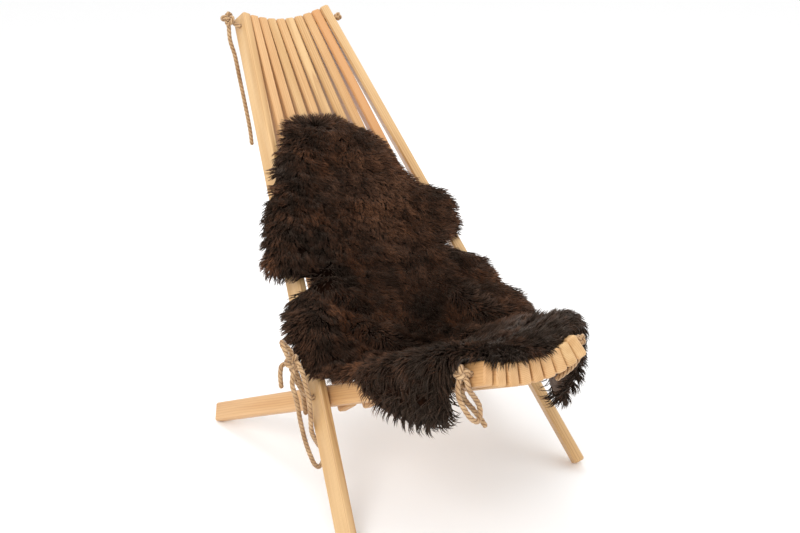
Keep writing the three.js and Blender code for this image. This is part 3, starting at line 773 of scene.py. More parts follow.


def wool_material(name, lift, gloss, sheen):
    """Roots painted dark as painted shade, and tips lighter, partly as painted highlight. lift brightens the
    tips, gloss is the fibres' mirror-like shine and sheen their soft one, both as shader weights."""
    material, tree, shader = new_material(name)
    parts = split(tree, place_of(tree, "UV"))
    solid = place_of(tree, "Object")
    broad = noise(tree, solid, scale=11.0, detail=4.0)
    fine = noise(tree, solid, scale=420.0, detail=3.0)
    toward_tip = maths(tree, "POWER", parts[1], TIP_LIGHT)
    light = maths(tree, "MULTIPLY", toward_tip, maths(tree, "MULTIPLY", parts[0], lift))
    # Painted shade and highlight: nearly black where a lock is deep in the wool, lighter towards its tip.
    brown = eye_ramp(tree, light, (0.0, 12, 7, 5), (0.2, 36, 23, 17), (0.45, 80, 55, 41),
                     (0.7, 132, 97, 74), (1.0, 190, 150, 118))
    warm = eye_ramp(tree, broad, (0.36, 212, 208, 212), (0.52, 246, 232, 222), (0.66, 255, 226, 200))
    finish_shader(tree, shader, tinted(tree, brown, warm), height=fine, strength=0.25, depth=0.0005, values={
        "Roughness": 0.44, "Specular IOR Level": gloss, "Specular Tint": (1.0, 0.72, 0.52, 1.0),
        "Sheen Weight": sheen, "Sheen Roughness": 0.35, "Sheen Tint": (0.85, 0.62, 0.46, 1.0),
    })
    return material


def suede_material():
    """The flesh side: soft brown patches under a very fine nap."""
    material, tree, shader = new_material("suede")
    solid = place_of(tree, "Object")
    broad = noise(tree, solid, scale=14.0, detail=5.0)
    nap = noise(tree, solid, scale=900.0, detail=3.0)
    colour = eye_ramp(tree, broad, (0.3, 72, 54, 42), (0.55, 92, 70, 55), (0.75, 112, 88, 70))
    finish_shader(tree, shader, colour, height=nap, strength=0.35, depth=0.0008,
                  values={"Roughness": 0.92, "Sheen Weight": 0.3})
    return material


WOOL = wool_material("wool", lift=1.0, gloss=0.3264, sheen=0.12)
# The undercoat's low lift paints it nearly black: painted shade for the depth of the dense wool, under the
# locks.
UNDERCOAT = wool_material("undercoat", lift=0.3, gloss=0.0, sheen=0.0)
SUEDE = suede_material()
print("wool nodes", len(WOOL.node_tree.nodes), "suede nodes", len(SUEDE.node_tree.nodes))

# %% [markdown]
# ## The pelt and its undercoat
#
# The pelt is a thin closed sheet on the drape. Real wool is so dense that its lower half lies in deep shade,
# a dark mass in which no lock shows. That half is one lumpy layer on the pelt, painted nearly black as
# painted shade, so that all the small faces go into the upper half, which is seen.

# %% Pelt and undercoat
HIDE_INSET = 0.014          # the wool reaches this far past the hide's edge
PELT_THICK = 0.0025
PELT_GRID = (110, 60)       # rows down and columns across
LAYER_GAP = 0.0004          # between the pelt and the undercoat
UNDERCOAT_GRID = (200, 100)
UNDERCOAT_INSET = 0.002     # from the pelt's edge
UNDERCOAT_HEIGHT = 0.016
UNDERCOAT_LEAST = 0.001
UNDERCOAT_RIM = 0.0015      # its height at the very edge
UNDERCOAT_FADE = 0.040      # how far in from the edge it reaches its full height
PARTING = 1.1               # how much of a hollow's depth parts it
# Waves over the undercoat, as height, length and seed: its lumps, and the middle
# value and wave of each of its two map values.
LUMPS = [(0.0045, 0.050, 3), (0.0028, 0.024, 4)]
UNDERCOAT_TONES = [(0.5, (0.3, 0.03, 5)), (0.6, (0.3, 0.02, 6))]


def skin_grid(rows, columns, inset):
    """Rows down and columns across the hide, inside its edge."""
    down = np.linspace(inset, SKIN_LENGTH - inset, rows)
    left = outline(LEFT, down) + inset
    right = outline(RIGHT, down) - inset
    share = np.linspace(0, 1, columns)
    across = left[:, None] + (right - left)[:, None] * share[None, :]
    return np.repeat(down, columns), across.ravel()


def layer_piece(name, below, above, rows, columns, material, uv=None):
    """A closed layer between two grids of points, with a wall round its rim."""
    top = grid_faces(rows, columns, rows * columns)
    bottom = grid_faces(rows, columns)[:, ::-1]
    grid = np.arange(rows * columns).reshape(rows, columns)
    loop = np.concatenate([grid[0, :-1], grid[:-1, -1], grid[-1, :0:-1], grid[:0:-1, 0]])
    after = np.roll(loop, -1)
    wall = np.stack([loop, after, after + rows * columns, loop + rows * columns], axis=1)
    faces = np.concatenate([bottom, top, wall])
    return mesh_piece(name, np.concatenate([below, above]), faces, material, uv)


def waves(down, across, length, seed, count=8):
    """Smooth bumps, mostly between -1 and 1, about the given length: a sum of sine waves in random
    directions, over half their count."""
    rng = np.random.default_rng(seed)
    total = np.zeros_like(down)
    for _ in range(count):
        angle, phase, stretch = rng.uniform(0, 2 * np.pi), rng.uniform(0, 2 * np.pi), rng.uniform(0.7, 1.4)
        along = down * np.cos(angle) + across * np.sin(angle)
        total += np.sin(along * 2 * np.pi / (length * stretch) + phase)
    return total / (count / 2)


def wave_sum(down, across, rows, middle=0.0):
    """The middle value plus waves, whose rows give height, length and seed."""
    return sum((height * waves(down, across, length, seed) for height, length, seed in rows), middle)


def inner_rim(down, across, reach):
    """0 at the cut edge of the hide, rising to 1 over the given reach."""
    return smooth((rim_distance(down, across) - HIDE_INSET) / reach)


def undercoat_height(down, across):
    """The undercoat's top above the hide: low at the rim and in the hollows, lumpy elsewhere."""
    full = UNDERCOAT_HEIGHT + wave_sum(down, across, LUMPS) + PARTING * folds(down, across)[1]
    rise = np.maximum(full, UNDERCOAT_LEAST) * inner_rim(down, across, UNDERCOAT_FADE)
    return PELT_THICK + LAYER_GAP + UNDERCOAT_RIM + rise


surface, outward = hide_surface(*skin_grid(*PELT_GRID, HIDE_INSET))
pelt = layer_piece("pelt", surface, surface + outward * PELT_THICK, *PELT_GRID, SUEDE)

down, across = skin_grid(*UNDERCOAT_GRID, HIDE_INSET + UNDERCOAT_INSET)
surface, outward = hide_surface(down, across)
below = surface + outward * (PELT_THICK + LAYER_GAP)
above = surface + outward * undercoat_height(down, across)[:, None]
tone = np.stack([wave_sum(down, across, [row], middle) for middle, row in UNDERCOAT_TONES], axis=1)
uv = np.concatenate([tone * 0, tone])
undercoat = layer_piece("wool_undercoat", below, above, *UNDERCOAT_GRID, UNDERCOAT, uv)
print("pelt faces", len(pelt.data.polygons), "undercoat faces", len(undercoat.data.polygons))

# %% [markdown]
# ## The wool
#
# Real wool grows in locks that lean with the pelt's flow and gather into
# clumps. Each lock is a slim three-sided spike of a few faces, bent along a
# curve. Tens of thousands of them are worked out at once as arrays: first
# where they root, then which way they flow, then their rings of points.

# %% Where the locks grow
LOCK_SPACING = 0.00245
CLUMP_SPACING = 0.015
WIDEST = 0.80        # more than the hide's width
JITTER = 0.9         # how far a root strays in its cell, as a share of the spacing
SPARE_CELLS = 4
CLUMP_TRAITS = 4     # each clump's tone, turn, rise and phase
RNG = np.random.default_rng(11)


def scattered(spacing, rng):
    """Points scattered evenly over the hide, as (down, across) rows: one in each cell of a grid."""
    rows = int(SKIN_LENGTH / spacing)
    columns = int(WIDEST / spacing)
    grid = np.stack(np.meshgrid(np.arange(rows), np.arange(columns) - columns / 2, indexing="ij"), axis=-1)
    points = (grid.reshape(-1, 2) + 0.5 + JITTER * (rng.random((rows * columns, 2)) - 0.5)) * spacing
    return points[rim_distance(points[:, 0], points[:, 1]) > HIDE_INSET]


def nearest_clump(roots, rng):
    """Each root's clump: the nearest of the scattered centres in the nine cells round it. Gives its
    centre and its random traits."""
    rows, columns = (int(size / CLUMP_SPACING) + SPARE_CELLS for size in (SKIN_LENGTH, WIDEST))
    offsets = rng.random((rows, columns, 2))
    traits = rng.random((rows, columns, CLUMP_TRAITS))
    origin = np.array([1, columns // 2])
    cell = np.floor(roots / CLUMP_SPACING).astype(int) + origin
    best = np.full(len(roots), np.inf)
    centre, trait = np.zeros_like(roots), np.zeros((len(roots), CLUMP_TRAITS))
    for i in (-1, 0, 1):
        for j in (-1, 0, 1):
            at = np.clip(cell + (i, j), 0, (rows - 1, columns - 1))
            point = (at - origin + offsets[at[:, 0], at[:, 1]]) * CLUMP_SPACING
            distance = np.linalg.norm(point - roots, axis=1)
            closer = (distance < best)[:, None]
            best = np.minimum(best, distance)
            centre = np.where(closer, point, centre)
            trait = np.where(closer, traits[at[:, 0], at[:, 1]], trait)
    return centre, trait.T


roots = scattered(LOCK_SPACING, RNG)
clump_centres, (clump_tone, clump_turn, clump_rise, clump_phase) = nearest_clump(roots, RNG)
print("locks", len(roots))

# %% [markdown]
# Wool leans down the back and out over the edges, slides off the folds and is
# dragged by its own weight. Each of these is a small arrow on the skin, and
# their sum is the way that a lock leans. Soft waves then swirl it.

# %% Which way the wool flows
SURFACE_STEP = 0.002
EDGE_REACH = 0.030
# The arrows' strengths: down the skin and less so on the seat, out from the
# middle and more so on the seat, with the weight, over the edges, over the tail
# and less so where it is trimmed, out of hollows, which parts them, and off ridges.
DOWN_PULL, SEAT_SLOWS = 0.70, 0.45
SIDE_PULL, SEAT_SPREADS = 0.40, 0.9
WEIGHT_PULL = 0.6
EDGE_PULL = 2.0
TAIL_PULL, TRIMMED_LESS = 1.2, 0.9
HOLLOW_PUSH, RIDGE_PUSH = 1.3, 1.6
MIDDLE, HALF_WIDTH = -0.03, 0.20
# The swirl, in radians: waves of height, length and seed, then the turn of a
# clump and the scatter of a lock, each plain and in silky wool.
SWIRL_WAVES = [(0.50, 0.15, 21), (0.25, 0.05, 22)]
CLUMP_SWIRL, SILKY_CLUMP_SWIRL = 0.30, 0.35
LOCK_SWIRL, SILKY_LESS_SWIRL = 0.20, 0.55


def unit_rows(vectors):
    """Each row of an array at length 1."""
    return vectors / np.maximum(np.linalg.norm(vectors, axis=1, keepdims=True), 1e-9)


def rising(place, start, reach):
    """0 up to the start, and 1 from one reach past it on. It marks a region of the skin."""
    return smooth((place - start) / reach)


def near_edge(distance):
    """1 at the hide's edge, fading inwards."""
    return np.exp(-np.maximum(distance - HIDE_INSET, 0) / EDGE_REACH)


def changes(of):
    """How much a function of (down, across) changes over two steps down, and over two across."""
    return (of(down + SURFACE_STEP, across) - of(down - SURFACE_STEP, across),
            of(down, across + SURFACE_STEP) - of(down, across - SURFACE_STEP))


def slope_of(height):
    """The gradient of a function of (down, across), as two columns."""
    return np.stack(changes(height), axis=1) / (2 * SURFACE_STEP)


down, across = roots[:, 0], roots[:, 1]
base, outward = hide_surface(down, across)
down_way, across_way = map(unit_rows, changes(lambda d, a: hide_surface(d, a)[0]))
normal = unit_rows(np.cross(across_way, down_way))
normal *= np.sign((normal * outward).sum(axis=1))[:, None]

to_left = near_edge(across - outline(LEFT, down))
to_right = near_edge(outline(RIGHT, down) - across)
to_neck = near_edge(down)
to_tail = near_edge(SKIN_LENGTH - down)
gravity = np.stack([-down_way[:, 2], -across_way[:, 2]], axis=1)
on_seat = rising(down, 0.60, 0.12)
trimmed = rising(down, 0.92, 0.05) * rising(across, -0.01, 0.08) * rising(-across, -0.18, 0.04)
silky = np.clip(rising(-across, 0.05, 0.10) + rising(down, 0.62, 0.14), 0, 1)
spread = np.clip((across - MIDDLE) / HALF_WIDTH, -1, 1)
flow = np.stack([
    DOWN_PULL - SEAT_SLOWS * on_seat + WEIGHT_PULL * gravity[:, 0] - EDGE_PULL * to_neck
    + (TAIL_PULL - TRIMMED_LESS * trimmed) * to_tail,
    (SIDE_PULL + SEAT_SPREADS * on_seat) * spread + WEIGHT_PULL * gravity[:, 1]
    - EDGE_PULL * to_left + EDGE_PULL * to_right,
], axis=1)
ridge_slope, hollow_slope = (slope_of(lambda d, a: folds(d, a)[kind]) for kind in (0, 1))
flow += HOLLOW_PUSH * hollow_slope - RIDGE_PUSH * ridge_slope
swirl = (
    wave_sum(down, across, SWIRL_WAVES) + (CLUMP_SWIRL + SILKY_CLUMP_SWIRL * silky) * (clump_turn - 0.5)
    + LOCK_SWIRL * (1 - SILKY_LESS_SWIRL * silky) * RNG.normal(size=len(roots))
)
cos, sin = np.cos(swirl), np.sin(swirl)
flow = unit_rows(np.stack([flow[:, 0] * cos - flow[:, 1] * sin, flow[:, 0] * sin + flow[:, 1] * cos], axis=1))
lean = unit_rows(down_way * flow[:, :1] + across_way * flow[:, 1:])
sideways = unit_rows(np.cross(normal, lean))
print("mean lean", lean.mean(axis=0).round(2))

# %% [markdown]
# A lock's shape follows from where it grows. On the back it stands up and
# curls. In the silky wool at the left and on the seat it is longer and lies
# flatter, and at the hide's edge it bends down over the rim.

# %% The locks' measures
LOCK_LENGTH = 0.026
RIM_LENGTH = 0.030
HANGING_LENGTH = 0.014      # what a lock gains at an edge that hangs
LOCK_RADIUS = 0.00105
THICKER_AT_EDGE = 0.15
RADIUS_RANGE = (0.7, 1.25)
LOCK_SIDES = 3
CRIMP = 0.0020
CRIMP_TURNS = 6.5
CUT_REACH, HEM_REACH = 0.008, 0.018
# Changes of length, as shares of it.
SILKY_LONGER, TRIMMED_SHORTER = 0.16, 0.45
MEAN_LENGTH, EVEN_AT_EDGE = 0.92, 0.7
LENGTH_SCATTER, LENGTH_WAVES, CLUMP_LENGTH = 0.17, [(0.08, 0.06, 31)], 0.14
# Angles in degrees: how much a clump lifts its locks, and what lies flatter.
CLUMP_LIFT, SILKY_CLUMP_LIFT, CUT_DROP, COMBED_DROP = 9, 9, 22, 10
TIDY_IN_SILKY, TIDY_AT_EDGE, PHASE_SCATTER = 0.5, 0.4, 0.5
ROOT_SHARE, LESS_AT_CUT = 0.85, 0.8   # how high in the undercoat a lock roots
# How far a lock's tip is pulled to its clump's middle, as a share of the way.
PULL_RANGE, SILKY_PULL, LESS_PULL_AT_EDGE = (0.1, 0.5), 0.16, 0.65
# The wool's tone: its middle, its waves, and the shares of clumps and locks.
MIDDLE_TONE, TONE_WAVES = 0.50, [(0.15, 0.11, 41), (0.13, 0.04, 42)]
DARK_TAIL, CLUMP_TONE, SILKY_CLUMP_TONE, LOCK_TONE, LEAST_TONE = 0.30, 0.20, 0.14, 0.36, 0.03
# Painted shade and painted highlight: soft darker areas where folds and hollows lie in shade, and lighter
# areas where the wool is lit. Each row: down, across, reach down, reach across and the change of tone.
PAINTED_SHADE_AND_HIGHLIGHT = [
    (0.250, 0.040, 0.150, 0.080, 0.36),
    (0.230, -0.170, 0.120, 0.060, -0.12),
    (0.385, -0.120, 0.050, 0.070, -0.22),
    (0.515, 0.045, 0.045, 0.032, -0.42),
    (0.560, 0.000, 0.040, 0.040, -0.26),
    (0.640, 0.030, 0.060, 0.050, -0.22),
    (0.720, 0.100, 0.050, 0.080, -0.24),
    (0.600, -0.120, 0.060, 0.050, 0.14),
    (0.500, -0.080, 0.050, 0.060, 0.08),
    (0.560, 0.220, 0.050, 0.050, 0.10),
]

edge = np.maximum.reduce([to_left, to_right, to_neck, to_tail])
from_cut = rim_distance(down, across) - HIDE_INSET
at_cut = np.clip(1 - from_cut / CUT_REACH, 0, 1)
at_hem = np.clip(1 - from_cut / HEM_REACH, 0, 1)
hang = np.clip(np.linalg.norm(gravity, axis=1), 0, 1) * on_seat
combed = rising(down, 0.78, 0.10) * rising(across, -0.02, 0.12)
length = LOCK_LENGTH + (RIM_LENGTH - LOCK_LENGTH) * edge + HANGING_LENGTH * edge * hang
length *= (1 + SILKY_LONGER * silky * (1 - edge)) * (1 - TRIMMED_SHORTER * trimmed * edge)
length *= MEAN_LENGTH + (1 - EVEN_AT_EDGE * edge) * (
    RNG.uniform(-LENGTH_SCATTER, LENGTH_SCATTER, len(roots))
    + wave_sum(down, across, LENGTH_WAVES) + CLUMP_LENGTH * (clump_rise - 0.5)
)
lift = (CLUMP_LIFT + SILKY_CLUMP_LIFT * silky) * (clump_rise - 0.5) - CUT_DROP * at_cut - COMBED_DROP * combed
loose = (1 - TIDY_IN_SILKY * silky) * (1 - TIDY_AT_EDGE * edge)


def lock_rise(plain, in_silky, at_edge, where_hanging, scatter, at_hanging_hem):
    """A lock's angle above the hide: a sum, in degrees, of what it is in plain wool, its change in each
    kind of place, its clump's lift and its own random scatter."""
    angle = plain + in_silky * silky + at_edge * edge + where_hanging * hang + lift
    angle = angle + scatter * loose * RNG.normal(size=len(roots)) + at_hanging_hem * at_hem * hang
    return angle * DEGREE


first_rise = lock_rise(66, in_silky=-10, at_edge=-28, where_hanging=-24, scatter=8, at_hanging_hem=0)
last_rise = lock_rise(20, in_silky=-7, at_edge=-36, where_hanging=-13, scatter=11, at_hanging_hem=-60)
phase = 2 * np.pi * clump_phase + PHASE_SCATTER * loose * RNG.normal(size=len(roots))
gathered = (1 - LESS_PULL_AT_EDGE * edge) * (RNG.uniform(*PULL_RANGE, len(roots)) + SILKY_PULL * silky)
to_clump = clump_centres - roots
pull = (down_way * to_clump[:, :1] + across_way * to_clump[:, 1:]) * gathered[:, None]
root = base + normal * (ROOT_SHARE * undercoat_height(down, across) * (1 - LESS_AT_CUT * at_cut))[:, None]
radius = LOCK_RADIUS * (1 + THICKER_AT_EDGE * edge) * RNG.uniform(*RADIUS_RANGE, len(roots))
spin = RNG.uniform(0, 2 * np.pi, len(roots))
tone = wave_sum(down, across, TONE_WAVES, MIDDLE_TONE) - DARK_TAIL * rising(down, 0.78, 0.14)
# Painted shade and highlight: each area darkens or lightens the locks' tone.
for shade_down, shade_across, reach_down, reach_across, change in PAINTED_SHADE_AND_HIGHLIGHT:
    near = ((down - shade_down) / reach_down) ** 2 + ((across - shade_across) / reach_across) ** 2
    tone += change * np.exp(-near)
tone += (CLUMP_TONE + SILKY_CLUMP_TONE * silky) * (clump_tone - 0.5)
tone = np.clip(tone + LOCK_TONE * (RNG.random(len(roots)) - 0.5), LEAST_TONE, 1)
print("lock length", length.min().round(3), "to", length.max().round(3), "mean tone", tone.mean().round(2))

# %% The locks' shape
FLATTEST_BEND = -0.05    # radians: every lock bends over at least this much
PULL_POWER = 1.5         # the pull grows towards the tip with this power of the share
OFF_NORMAL = 0.01        # keeps a lock that stands upright from having no side


def lock_line(share):
    """A lock's centre at a share of its length. It starts steep and bends over to its last rise, so
    its height and reach are the integrals of the sine and cosine of a steadily falling angle. Its
    tip is pulled towards its clump's middle, and a small wave is its crimp."""
    fall = np.minimum(last_rise - first_rise, FLATTEST_BEND)
    angle = first_rise + fall * share
    height = length * (np.cos(first_rise) - np.cos(angle)) / fall
    reach = length * (np.sin(angle) - np.sin(first_rise)) / fall
    wave = CRIMP * share * (np.sin(phase + CRIMP_TURNS * share) - np.sin(phase))
    point = root + normal * height[:, None] + lean * reach[:, None]
    return point + pull * share ** PULL_POWER + sideways * wave[:, None]


def lock_faces(rings):
    """Triangles of one lock: its sides ring by ring, its tip and its root."""
    faces = []
    last = LOCK_SIDES * (rings - 1)
    for i in range(rings - 1):
        for j in range(LOCK_SIDES):
            a, b = i * LOCK_SIDES + j, i * LOCK_SIDES + (j + 1) % LOCK_SIDES
            faces += [(a, b, b + LOCK_SIDES), (a, b + LOCK_SIDES, a + LOCK_SIDES)]
    faces += [(last + j, last + (j + 1) % LOCK_SIDES, last + LOCK_SIDES) for j in range(LOCK_SIDES)]
    faces.append((2, 1, 0))
    return np.array(faces)


def grow(name, chosen, shares, radii):
    """One mesh of the chosen locks, with a ring of points at each share of a lock's length and its
    tip at the end. The radii are shares of a lock's own."""
    lines = np.stack([lock_line(share)[chosen] for share in (*shares, 1.0)], axis=1)
    along = unit_rows(lines[:, -1] - lines[:, 0])
    side = unit_rows(np.cross(along, normal[chosen] + OFF_NORMAL))
    other = np.cross(along, side)
    corners = spin[chosen][:, None] + np.arange(LOCK_SIDES) * 2 * np.pi / LOCK_SIDES
    ring = np.cos(corners)[..., None] * side[:, None, :] + np.sin(corners)[..., None] * other[:, None, :]
    reach = (radius[chosen][:, None] * np.array(radii))[:, :, None, None]
    rings = lines[:, :-1, None, :] + ring[:, None] * reach
    points = np.concatenate([rings.reshape(len(chosen), -1, 3), lines[:, -1:]], axis=1)
    starts = np.arange(len(chosen)) * points.shape[1]
    faces = lock_faces(len(shares))[None] + starts[:, None, None]
    v = np.concatenate([np.repeat(shares, LOCK_SIDES), [1.0]])
    uv = np.stack(np.broadcast_arrays(tone[chosen][:, None], v[None, :]), axis=-1)
    piece = mesh_piece(name, points.reshape(-1, 3), faces.reshape(-1, 3), WOOL, uv.reshape(-1, 2))
    print(name, len(piece.data.polygons), "triangles")
    return piece


print("triangles in a lock", len(lock_faces(2)), "or", len(lock_faces(3)))

# %% [markdown]
# Locks near the edge are long and bend more, so they have three rings, and the
# many short ones have two. Both kinds are split by rows down the skin, so that
# each mesh stays small enough to handle.

# %% Wool pieces
RIM_FROM = 0.45      # locks with more of the edge in them than this belong to the rim
order = np.argsort(down)
at_rim = (edge > RIM_FROM)[order]
wool_pieces = []
# The names, their locks, the shares of a lock's length where its rings are, and
# how thick it is there.
for names, locks, shares, radii in (
    (("neck", "back", "bend", "seat", "tail"), order[~at_rim], (0.0, 0.5), (1.0, 0.85)),
    (("rim_back", "rim_seat"), order[at_rim], (0.0, 0.38, 0.72), (1.0, 0.95, 0.62)),
):
    for name, chosen in zip(names, np.array_split(locks, len(names))):
        wool_pieces.append(grow("wool_" + name, chosen, shares, radii))

for piece in (pelt, undercoat, *wool_pieces):
    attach(piece, "root")
    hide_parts("sheepskin")

# %% [markdown]
# ## The pine slats
#
# A slat is sawn from one board, so its grain runs along it, its sides show long
# lines and its ends show the rings. One solid pattern gives all of these: rings
# round a pith line that lies beside the slat. Each slat has its own place in
# the board, so a mapping turns the pattern along it.

# %% Pine grain group
RINGS_PER_METRE = 290.0
RING_SWAY = 0.020                    # metres by which slow noise bends the rings
LATE_WOOD = [(0.0, 0), (0.62, 0.18), (0.92, 1), (1.0, 0)]   # place in a ring, and darkness
SLOW_STRETCH = (1.2, 14.0, 14.0)     # along the grain, across it twice
GRAIN_STRETCH = (18.0, 900.0, 900.0)


def pine_group():
    """Pine as a solid pattern: the grain runs along X, and the pith is where Y and Z are 0. A ring is
    a saw wave of the swayed distance from the pith, darkest in its late wood."""
    group = bpy.data.node_groups.new("pine grain", "ShaderNodeTree")
    for name, way, kind in (
        ("Vector", "INPUT", "Vector"), ("Warmth", "INPUT", "Float"),
        ("Color", "OUTPUT", "Color"), ("Height", "OUTPUT", "Float"), ("Roughness", "OUTPUT", "Float"),
    ):
        group.interface.new_socket(name, in_out=way, socket_type="NodeSocket" + kind)
    start = group.nodes.new("NodeGroupInput").outputs
    end = group.nodes.new("NodeGroupOutput").inputs
    slow = mapped(group, start["Vector"], Scale=SLOW_STRETCH)
    sway = noise(group, slow, scale=1.0, detail=2.0)
    parts = split(group, start["Vector"])
    squares = [maths(group, "MULTIPLY", parts[axis], parts[axis]) for axis in (1, 2)]
    distance = maths(group, "SQRT", maths(group, "ADD", *squares))
    swayed = maths(group, "MULTIPLY_ADD", sway, RING_SWAY, distance)
    cycle = maths(group, "FRACT", maths(group, "MULTIPLY", swayed, RINGS_PER_METRE))
    late = ramp(group, cycle, [(at, (dark,) * 3) for at, dark in LATE_WOOD])
    lateness = add_node(group, "ShaderNodeSeparateColor", {"Color": late}).outputs[0]
    fibre = noise(group, mapped(group, start["Vector"], Scale=GRAIN_STRETCH), scale=1.0, detail=4.0)
    wide = noise(group, slow, scale=2.6, detail=3.0)
    pale = eye_ramp(group, wide, (0.35, 200, 161, 110), (0.65, 217, 182, 133))
    dark = eye_ramp(group, wide, (0.35, 156, 106, 60), (0.65, 178, 132, 84))
    strength = maths(group, "MULTIPLY", lateness, maths(group, "MULTIPLY_ADD", sway, 0.7, 0.25))
    streak = ramp(group, fibre, [(0.3, (0.86, 0.84, 0.80)), (0.6, (1, 1, 1))])
    streaked = tinted(group, blend_colours(group, strength, pale, dark), streak, factor=0.6)
    warmed = blend_colours(group, start["Warmth"], streaked, (*srgb(196, 132, 78), 1.0))
    height = maths(group, "MULTIPLY_ADD", lateness, 0.35, maths(group, "MULTIPLY", fibre, 0.65))
    group.links.new(warmed, end["Color"])
    group.links.new(height, end["Height"])
    group.links.new(maths(group, "MULTIPLY_ADD", fibre, 0.16, 0.40), end["Roughness"])
    return group


PINE = pine_group()


def pine_material(name, turn, place, warmth):
    """Pine whose grain runs along one slat: turn and place bring the slat's axis onto X."""
    material, tree, shader = new_material("pine_" + name)
    along = mapped(tree, place_of(tree, "Object"), Rotation=turn, Location=place)
    grain = add_node(tree, "ShaderNodeGroup", node_tree=PINE)
    tree.links.new(along, grain.inputs["Vector"])
    grain.inputs["Warmth"].default_value = warmth
    tree.links.new(grain.outputs["Roughness"], shader.inputs["Roughness"])
    finish_shader(tree, shader, grain.outputs["Color"], height=grain.outputs["Height"],
                  strength=0.25, depth=0.0006, values={"Specular IOR Level": 0.4, "Coat Weight": 0.08})
    return material


print("grain nodes", len(PINE.nodes))

# %% [markdown]
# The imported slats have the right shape, but their edges are still sharp lines.
# A planed and sanded slat catches light on its edges, so each is copied, its
# triangles are merged and a small bevel rounds what is left.

# %% Slats
EDGE_ROUND = 0.0022                # the bevel's width at the slats' ends
LONG_EDGE, HOLE_EDGE = 0.6, 0.25   # the share of it on long edges and round the holes
END_REACH = 0.016                  # edges this near an end are the end's own
HOLE_CHORD = 0.006                 # shorter edges than this belong to a hole
SHARP = 15 * DEGREE
FLAT = 0.5 * DEGREE
BEVEL_SEGMENTS = 2
WARM_SLAT, WARM, WARMEST_OTHER = "back_slat_09", 0.6, 0.3
PITH_DISTANCE, PITH_RANGE = 0.055, (0.5, 1.6)
BOARD_LENGTH = 3                   # metres of board that slats are sawn from
slat_rng = np.random.default_rng(5)


def slat_axes(node):
    """A slat's centre, and its three main axes as rows, the long one first, as a turn."""
    points = np.empty(len(node.data.vertices) * 3, dtype=np.float32)
    node.data.vertices.foreach_get("co", points)
    points = points.reshape(-1, 3).astype(float)
    centre = points.mean(axis=0)
    _, _, axes = np.linalg.svd(points - centre, full_matrices=False)
    if np.linalg.det(axes) < 0:
        axes[2] *= -1
    return centre, axes


def round_edges(work, centre, axis):
    """Weighs each sharp edge for the bevel: most at the slat's ends, least round its holes."""
    def places(vertices):
        """How far along the slat each vertex is from its centre."""
        return [float((np.array(v.co) - centre) @ axis) for v in vertices]

    weight = work.edges.layers.float.new("bevel_weight_edge")
    along = places(work.verts)
    first, last = min(along), max(along)
    for edge in work.edges:
        if len(edge.link_faces) != 2 or edge.calc_face_angle() < SHARP:
            continue
        at = places(edge.verts)
        if edge.calc_length() < HOLE_CHORD:
            edge[weight] = HOLE_EDGE
        elif max(at) < first + END_REACH or min(at) > last - END_REACH:
            edge[weight] = 1.0
        else:
            edge[weight] = LONG_EDGE


def slat_mesh(name, node, centre, axis):
    """A copy of a packed slat with its triangles merged into flat faces and its edges weighed."""
    mesh = bpy.data.meshes.new(name)
    work = bmesh.new()
    work.from_mesh(node.data)
    bmesh.ops.remove_doubles(work, verts=work.verts, dist=MERGE_DISTANCE)
    bmesh.ops.dissolve_limit(work, angle_limit=FLAT, verts=work.verts, edges=work.edges)
    round_edges(work, centre, axis)
    work.to_mesh(mesh)
    work.free()
    return mesh


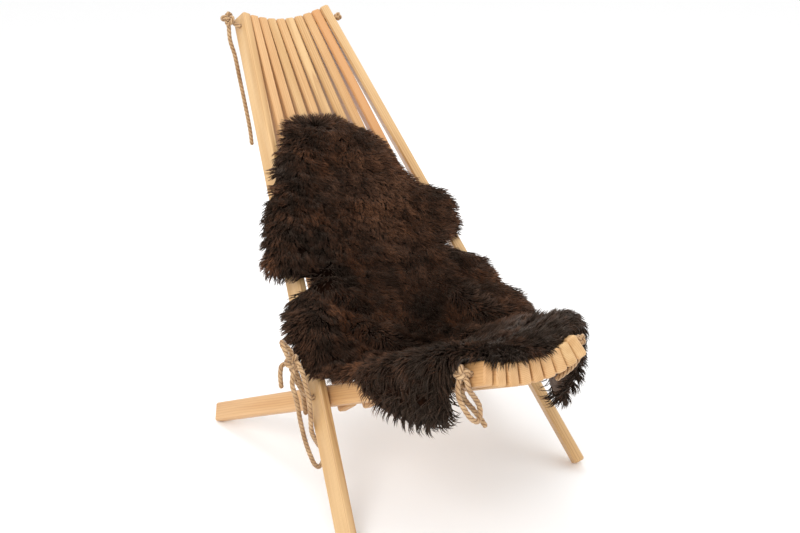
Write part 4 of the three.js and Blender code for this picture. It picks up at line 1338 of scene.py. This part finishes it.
for name in SLAT_NAMES:
    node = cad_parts[name]
    centre, axes = slat_axes(node)
    down_board = slat_rng.uniform(0, BOARD_LENGTH)
    beside = PITH_DISTANCE * unit(slat_rng.normal(size=2)) * slat_rng.uniform(*PITH_RANGE)
    place = np.array([down_board, *beside]) - axes @ centre
    warmth = WARM if name == WARM_SLAT else float(slat_rng.uniform(0.0, WARMEST_OTHER))
    mesh = slat_mesh("pine_" + name, node, centre, axes[0])
    mesh.materials.clear()
    mesh.materials.append(pine_material(name, Matrix(axes.tolist()).to_euler(), place, warmth))
    mesh.polygons.foreach_set("use_smooth", np.ones(len(mesh.polygons), dtype=bool))
    piece = bpy.data.objects.new("pine_" + name, mesh)
    bpy.context.scene.collection.objects.link(piece)
    bevel = piece.modifiers.new("rounded edges", "BEVEL")
    bevel.width = EDGE_ROUND
    bevel.segments = BEVEL_SEGMENTS
    bevel.limit_method = "WEIGHT"
    bevel.harden_normals = True
    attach(piece, "root")
    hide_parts(name)
print("slats finished", len(SLAT_NAMES))

# %% [markdown]
# ## Floor and light
#
# A plain pale floor and large soft lights, as in a photo studio.

# %% Stage
FLOOR_SIZE = 12.0      # from the middle to each side
FLOOR_GREY = 0.93
WORLD_STRENGTH = 1.05
# Each light: its place, what it aims at, its size in metres and its power in watts.
LIGHTS = {
    "key": ((-2.2, -1.6, 2.6), (0, 0, 0.4), 1.6, 48),
    "fill": ((2.4, -2.0, 1.8), (0, 0, 0.4), 2.0, 14),
    "top": ((0.2, 1.4, 3.0), (0, 0, 0.5), 1.8, 26),
}
floor_corners = np.array([[-1, -1, 0], [1, -1, 0], [1, 1, 0], [-1, 1, 0]]) * FLOOR_SIZE
floor_material, _, floor_shader = new_material("floor")
floor_shader.inputs["Base Color"].default_value = (FLOOR_GREY, FLOOR_GREY, FLOOR_GREY, 1.0)
floor_shader.inputs["Roughness"].default_value = 0.9
floor = mesh_piece("floor", floor_corners, np.array([[0, 1, 2, 3]]), floor_material)

bpy.context.scene.view_settings.view_transform = "Standard"
world = bpy.data.worlds.new("studio")
bpy.context.scene.world = world
world.use_nodes = True
background = world.node_tree.nodes["Background"].inputs
background["Color"].default_value = (1.0, 1.0, 1.0, 1.0)
background["Strength"].default_value = WORLD_STRENGTH


def soft_light(name, place, aim, size, power):
    """A square area light at its place, turned so that its -Z axis points at its aim."""
    data = bpy.data.lights.new(name, "AREA")
    data.size = size
    data.energy = power
    light = bpy.data.objects.new(name, data)
    backward = unit(np.array(place) - np.array(aim))
    right = unit(np.cross((0, 0, 1), backward))
    placed = np.eye(4)
    placed[:3, :3] = np.stack([right, np.cross(backward, right), backward], axis=1)
    placed[:3, 3] = place
    light.matrix_world = Matrix(placed.tolist())
    bpy.context.scene.collection.objects.link(light)


for name, settings in LIGHTS.items():
    soft_light(name, *settings)
print("lights", len(LIGHTS))
